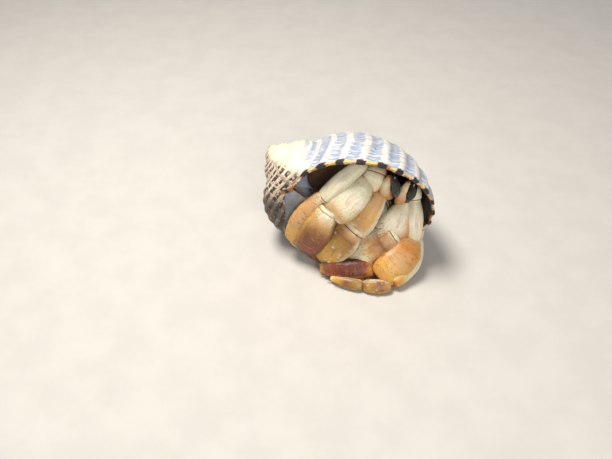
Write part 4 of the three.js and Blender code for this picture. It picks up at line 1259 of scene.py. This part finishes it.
def hair_material(settings):
    paint = Finish("stiff hair")
    shade = paint.mix(paint.step(paint.noise(1500, 2), 0.35, 0.7), settings.shade,
                      tuple(0.45 * v for v in settings.shade))
    return paint.finish(shade, paint.step(paint.noise(2200, 1), 0.3, 0.7, 0.35, 0.5))


def build_hairs(context):
    """Tufts of short stiff hairs along the margins of the legs, joined into one mesh."""
    settings = context.scene.crab_coat
    points, faces, maps = [], [], []
    draw = np.random.default_rng(5)
    for tile, (name, count) in enumerate(HAIRY.items()):
        rings, _, along, _ = loft_rings(SEGMENTS[name], HAIR_GRID, HAIR_GRID)
        middle = rings.mean(1)
        for _ in range(count):
            row = int(draw.integers(5, 45))
            edge = draw.choice((0, 24)) + int(draw.normal(0, 3.2))
            column = edge % HAIR_GRID
            root = rings[row, column]
            out = root - middle[row]
            out /= np.linalg.norm(out)
            lie = middle[min(row + 1, HAIR_GRID - 1)] - middle[row]
            lie /= np.linalg.norm(lie)
            home = np.array([(tile % TILES + 0.05 + 0.9 * along[row]) / TILES,
                             (tile // TILES + 0.05 + 0.9 * column / HAIR_GRID) / TILES])
            for _ in range(HAIRS_IN_TUFT):
                way = 0.55 * out + 0.75 * lie + 0.28 * draw.normal(size=3)
                way /= np.linalg.norm(way)
                reach = settings.hair / MM * draw.uniform(0.5, 1.2)
                thick = settings.thickness / MM / 2
                beside = np.cross(way, (0.3, 0.5, 0.8))
                beside /= np.linalg.norm(beside)
                other = np.cross(way, beside)
                start = root - 0.12 * out + 0.08 * draw.normal(size=3)
                base = len(points)
                for share, wide in ((0.0, 1.0), (0.55, 0.7)):
                    spot = start + way * reach * share
                    for corner in range(3):
                        turn = 2 * math.pi * corner / 3
                        round_hair = math.cos(turn) * beside + math.sin(turn) * other
                        points.append(spot + wide * thick * round_hair)
                points.append(start + way * reach + 0.18 * reach * (lie - out) * 0.5)
                for corner in range(3):
                    after = (corner + 1) % 3
                    faces.append((base + corner, base + after, base + 3 + after, base + 3 + corner))
                    faces.append((base + 3 + corner, base + 3 + after, base + 6))
                faces.append((base + 2, base + 1, base))
                maps.extend([home] * 7)
    points = np.array(points)
    points[:, 2] = np.maximum(points[:, 2], 0.02)
    piece = new_piece("leg_hairs", points, faces, hair_material(settings))
    layer = piece.data.uv_layers.new(name="OFBake")
    corner_point = np.zeros(len(piece.data.loops), int)
    piece.data.loops.foreach_get("vertex_index", corner_point)
    spread = PATCH * (np.stack([corner_point % 7, corner_point * 3 % 7], 1) / 6 - 0.5)
    layer.data.foreach_set("uv", (np.array(maps)[corner_point] + spread).astype(np.float32).ravel())
    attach(piece, BODY)
    return piece


# ---------------------------------------------------------------- stage

def aim(light, target):
    way = np.array(target) - np.array(light.location)
    yaw = math.atan2(way[1], way[0]) - math.pi / 2
    light.rotation_euler = (math.pi / 2 + math.atan2(way[2], math.hypot(way[0], way[1])), 0, yaw)


def soft_light(name, place, size, power, shade):
    data = bpy.data.lights.new(name, "AREA")
    data.shape = "DISK"
    data.size = size
    data.energy = power
    data.color = shade
    light = bpy.data.objects.new(name, data)
    light.location = place
    bpy.context.scene.collection.objects.link(light)
    aim(light, (0, 0, 0.008))
    return light


def build_stage(context):
    settings = context.scene.crab_stage
    paint = Finish("pale floor")
    grit = paint.noise(160, 4)
    darker = tuple(0.8 * v for v in settings.floor)
    shade = paint.mix(paint.step(grit, 0.35, 0.65, 0, 0.25), settings.floor, darker)
    material = paint.finish(shade, paint.step(grit, 0.3, 0.7, 0.75, 0.9), paint.relief(grit, 0.1, 0.0002))
    half = 0.6
    mesh = bpy.data.meshes.new("floor")
    corners = [(-half, -half, 0), (half, -half, 0), (half, half, 0), (-half, half, 0)]
    mesh.from_pydata(corners, [], [(0, 1, 2, 3)])
    mesh.materials.append(material)
    floor = bpy.data.objects.new("floor", mesh)
    context.scene.collection.objects.link(floor)

    world = bpy.data.worlds.new("studio")
    world.use_nodes = True
    world.node_tree.nodes["Background"].inputs["Color"].default_value = (0.93, 0.96, 1.0, 1)
    world.node_tree.nodes["Background"].inputs["Strength"].default_value = settings.sky
    context.scene.world = world
    context.scene.view_settings.view_transform = "Standard"
    soft_light("key light", (-0.05, 0.01, 0.17), 0.06, settings.key, (1.0, 0.97, 0.92))
    soft_light("front light", (0.05, -0.2, 0.12), 0.12, settings.fill, (1.0, 0.98, 0.95))

    data = bpy.data.cameras.new("camera")
    data.sensor_width = 36
    data.lens = data.sensor_width / (2 * math.tan(settings.view / 2))
    data.clip_start = 0.005
    data.clip_end = 10
    camera = bpy.data.objects.new("camera", data)
    camera.location = settings.camera
    camera.rotation_euler = (math.pi / 2 - settings.elevation, 0, 0)
    context.scene.collection.objects.link(camera)
    context.scene.camera = camera


# ---------------------------------------------------------------- operators

class CRAB_OT_shell(bpy.types.Operator):
    """Sweep, join and hollow the ribbed shell"""
    bl_idname = "crab.shell"
    bl_label = "Shell"

    def execute(self, context):
        build_shell(context)
        return {"FINISHED"}


class CRAB_OT_right_legs(bpy.types.Operator):
    """Build the segments of the right walking legs"""
    bl_idname = "crab.right_legs"
    bl_label = "Right walking legs"

    def execute(self, context):
        for name in named_with("second_leg_right", "third_leg_right"):
            build_segment(context, name)
        return {"FINISHED"}


class CRAB_OT_left_legs(bpy.types.Operator):
    """Build the segments of the left walking legs"""
    bl_idname = "crab.left_legs"
    bl_label = "Left walking legs"

    def execute(self, context):
        for name in named_with("second_leg_left", "third_leg_left"):
            build_segment(context, name)
        return {"FINISHED"}


class CRAB_OT_claw_arms(bpy.types.Operator):
    """Build the segments of both claw arms"""
    bl_idname = "crab.claw_arms"
    bl_label = "Claw arms"

    def execute(self, context):
        for name in named_with("cheliped"):
            build_segment(context, name)
        return {"FINISHED"}


class CRAB_OT_eyes(bpy.types.Operator):
    """Build the eyestalks and the dark corneas"""
    bl_idname = "crab.eyes"
    bl_label = "Eyes"

    def execute(self, context):
        settings = context.scene.crab_eyes
        cornea = eye_material(settings)
        stalk = stalk_material(settings, context.scene.crab_cuticle)
        for name in named_with("cornea"):
            build_eye(context, name, cornea)
        for name in named_with("eyestalk"):
            build_eye(context, name, stalk)
        return {"FINISHED"}


class CRAB_OT_head(bpy.types.Operator):
    """Build the feelers, the mouthparts, the carapace and the small hind legs"""
    bl_idname = "crab.head"
    bl_label = "Head and hind legs"

    def execute(self, context):
        for name in named_with("antenn", "maxilliped", "carapace", "fourth_leg"):
            build_segment(context, name)
        return {"FINISHED"}


class CRAB_OT_skin(bpy.types.Operator):
    """Build the soft skin of the body inside the shell"""
    bl_idname = "crab.skin"
    bl_label = "Soft body"

    def execute(self, context):
        build_skin(context)
        return {"FINISHED"}


class CRAB_OT_hairs(bpy.types.Operator):
    """Set the tufts of stiff hairs on the legs"""
    bl_idname = "crab.hairs"
    bl_label = "Hairs"

    def execute(self, context):
        build_hairs(context)
        return {"FINISHED"}


class CRAB_OT_stage(bpy.types.Operator):
    """Lay the floor, hang the lights and set the camera"""
    bl_idname = "crab.stage"
    bl_label = "Stage"

    def execute(self, context):
        build_stage(context)
        return {"FINISHED"}


STEPS = (CRAB_OT_shell, CRAB_OT_right_legs, CRAB_OT_left_legs, CRAB_OT_claw_arms, CRAB_OT_eyes,
         CRAB_OT_head, CRAB_OT_skin, CRAB_OT_hairs, CRAB_OT_stage)
GROUPS = {"crab_shell": ShellSettings, "crab_cuticle": CuticleSettings, "crab_eyes": EyeSettings,
          "crab_coat": CoatSettings, "crab_stage": StageSettings}


class CRAB_PT_panel(bpy.types.Panel):
    """The steps that build the crab and its shell"""
    bl_idname = "CRAB_PT_panel"
    bl_label = "Hermit crab"
    bl_space_type = "VIEW_3D"
    bl_region_type = "UI"
    bl_category = "Hermit crab"

    def draw(self, context):
        for step in STEPS:
            self.layout.operator(step.bl_idname)
        for group, kind in GROUPS.items():
            box = self.layout.box()
            for field in kind.__annotations__:
                box.prop(getattr(context.scene, group), field)


def register():
    for kind in (*GROUPS.values(), *STEPS, CRAB_PT_panel):
        bpy.utils.register_class(kind)
    for group, kind in GROUPS.items():
        setattr(bpy.types.Scene, group, bpy.props.PointerProperty(type=kind))


def unregister():
    for group in GROUPS:
        delattr(bpy.types.Scene, group)
    for kind in (CRAB_PT_panel, *reversed(STEPS), *GROUPS.values()):
        bpy.utils.unregister_class(kind)


def main():
    register()
    bpy.ops.crab.shell()
    bpy.ops.crab.right_legs()
    bpy.ops.crab.left_legs()
    bpy.ops.crab.claw_arms()
    bpy.ops.crab.eyes()
    bpy.ops.crab.head()
    bpy.ops.crab.skin()
    bpy.ops.crab.hairs()
    bpy.ops.crab.stage()


if __name__ == "__main__":
    main()
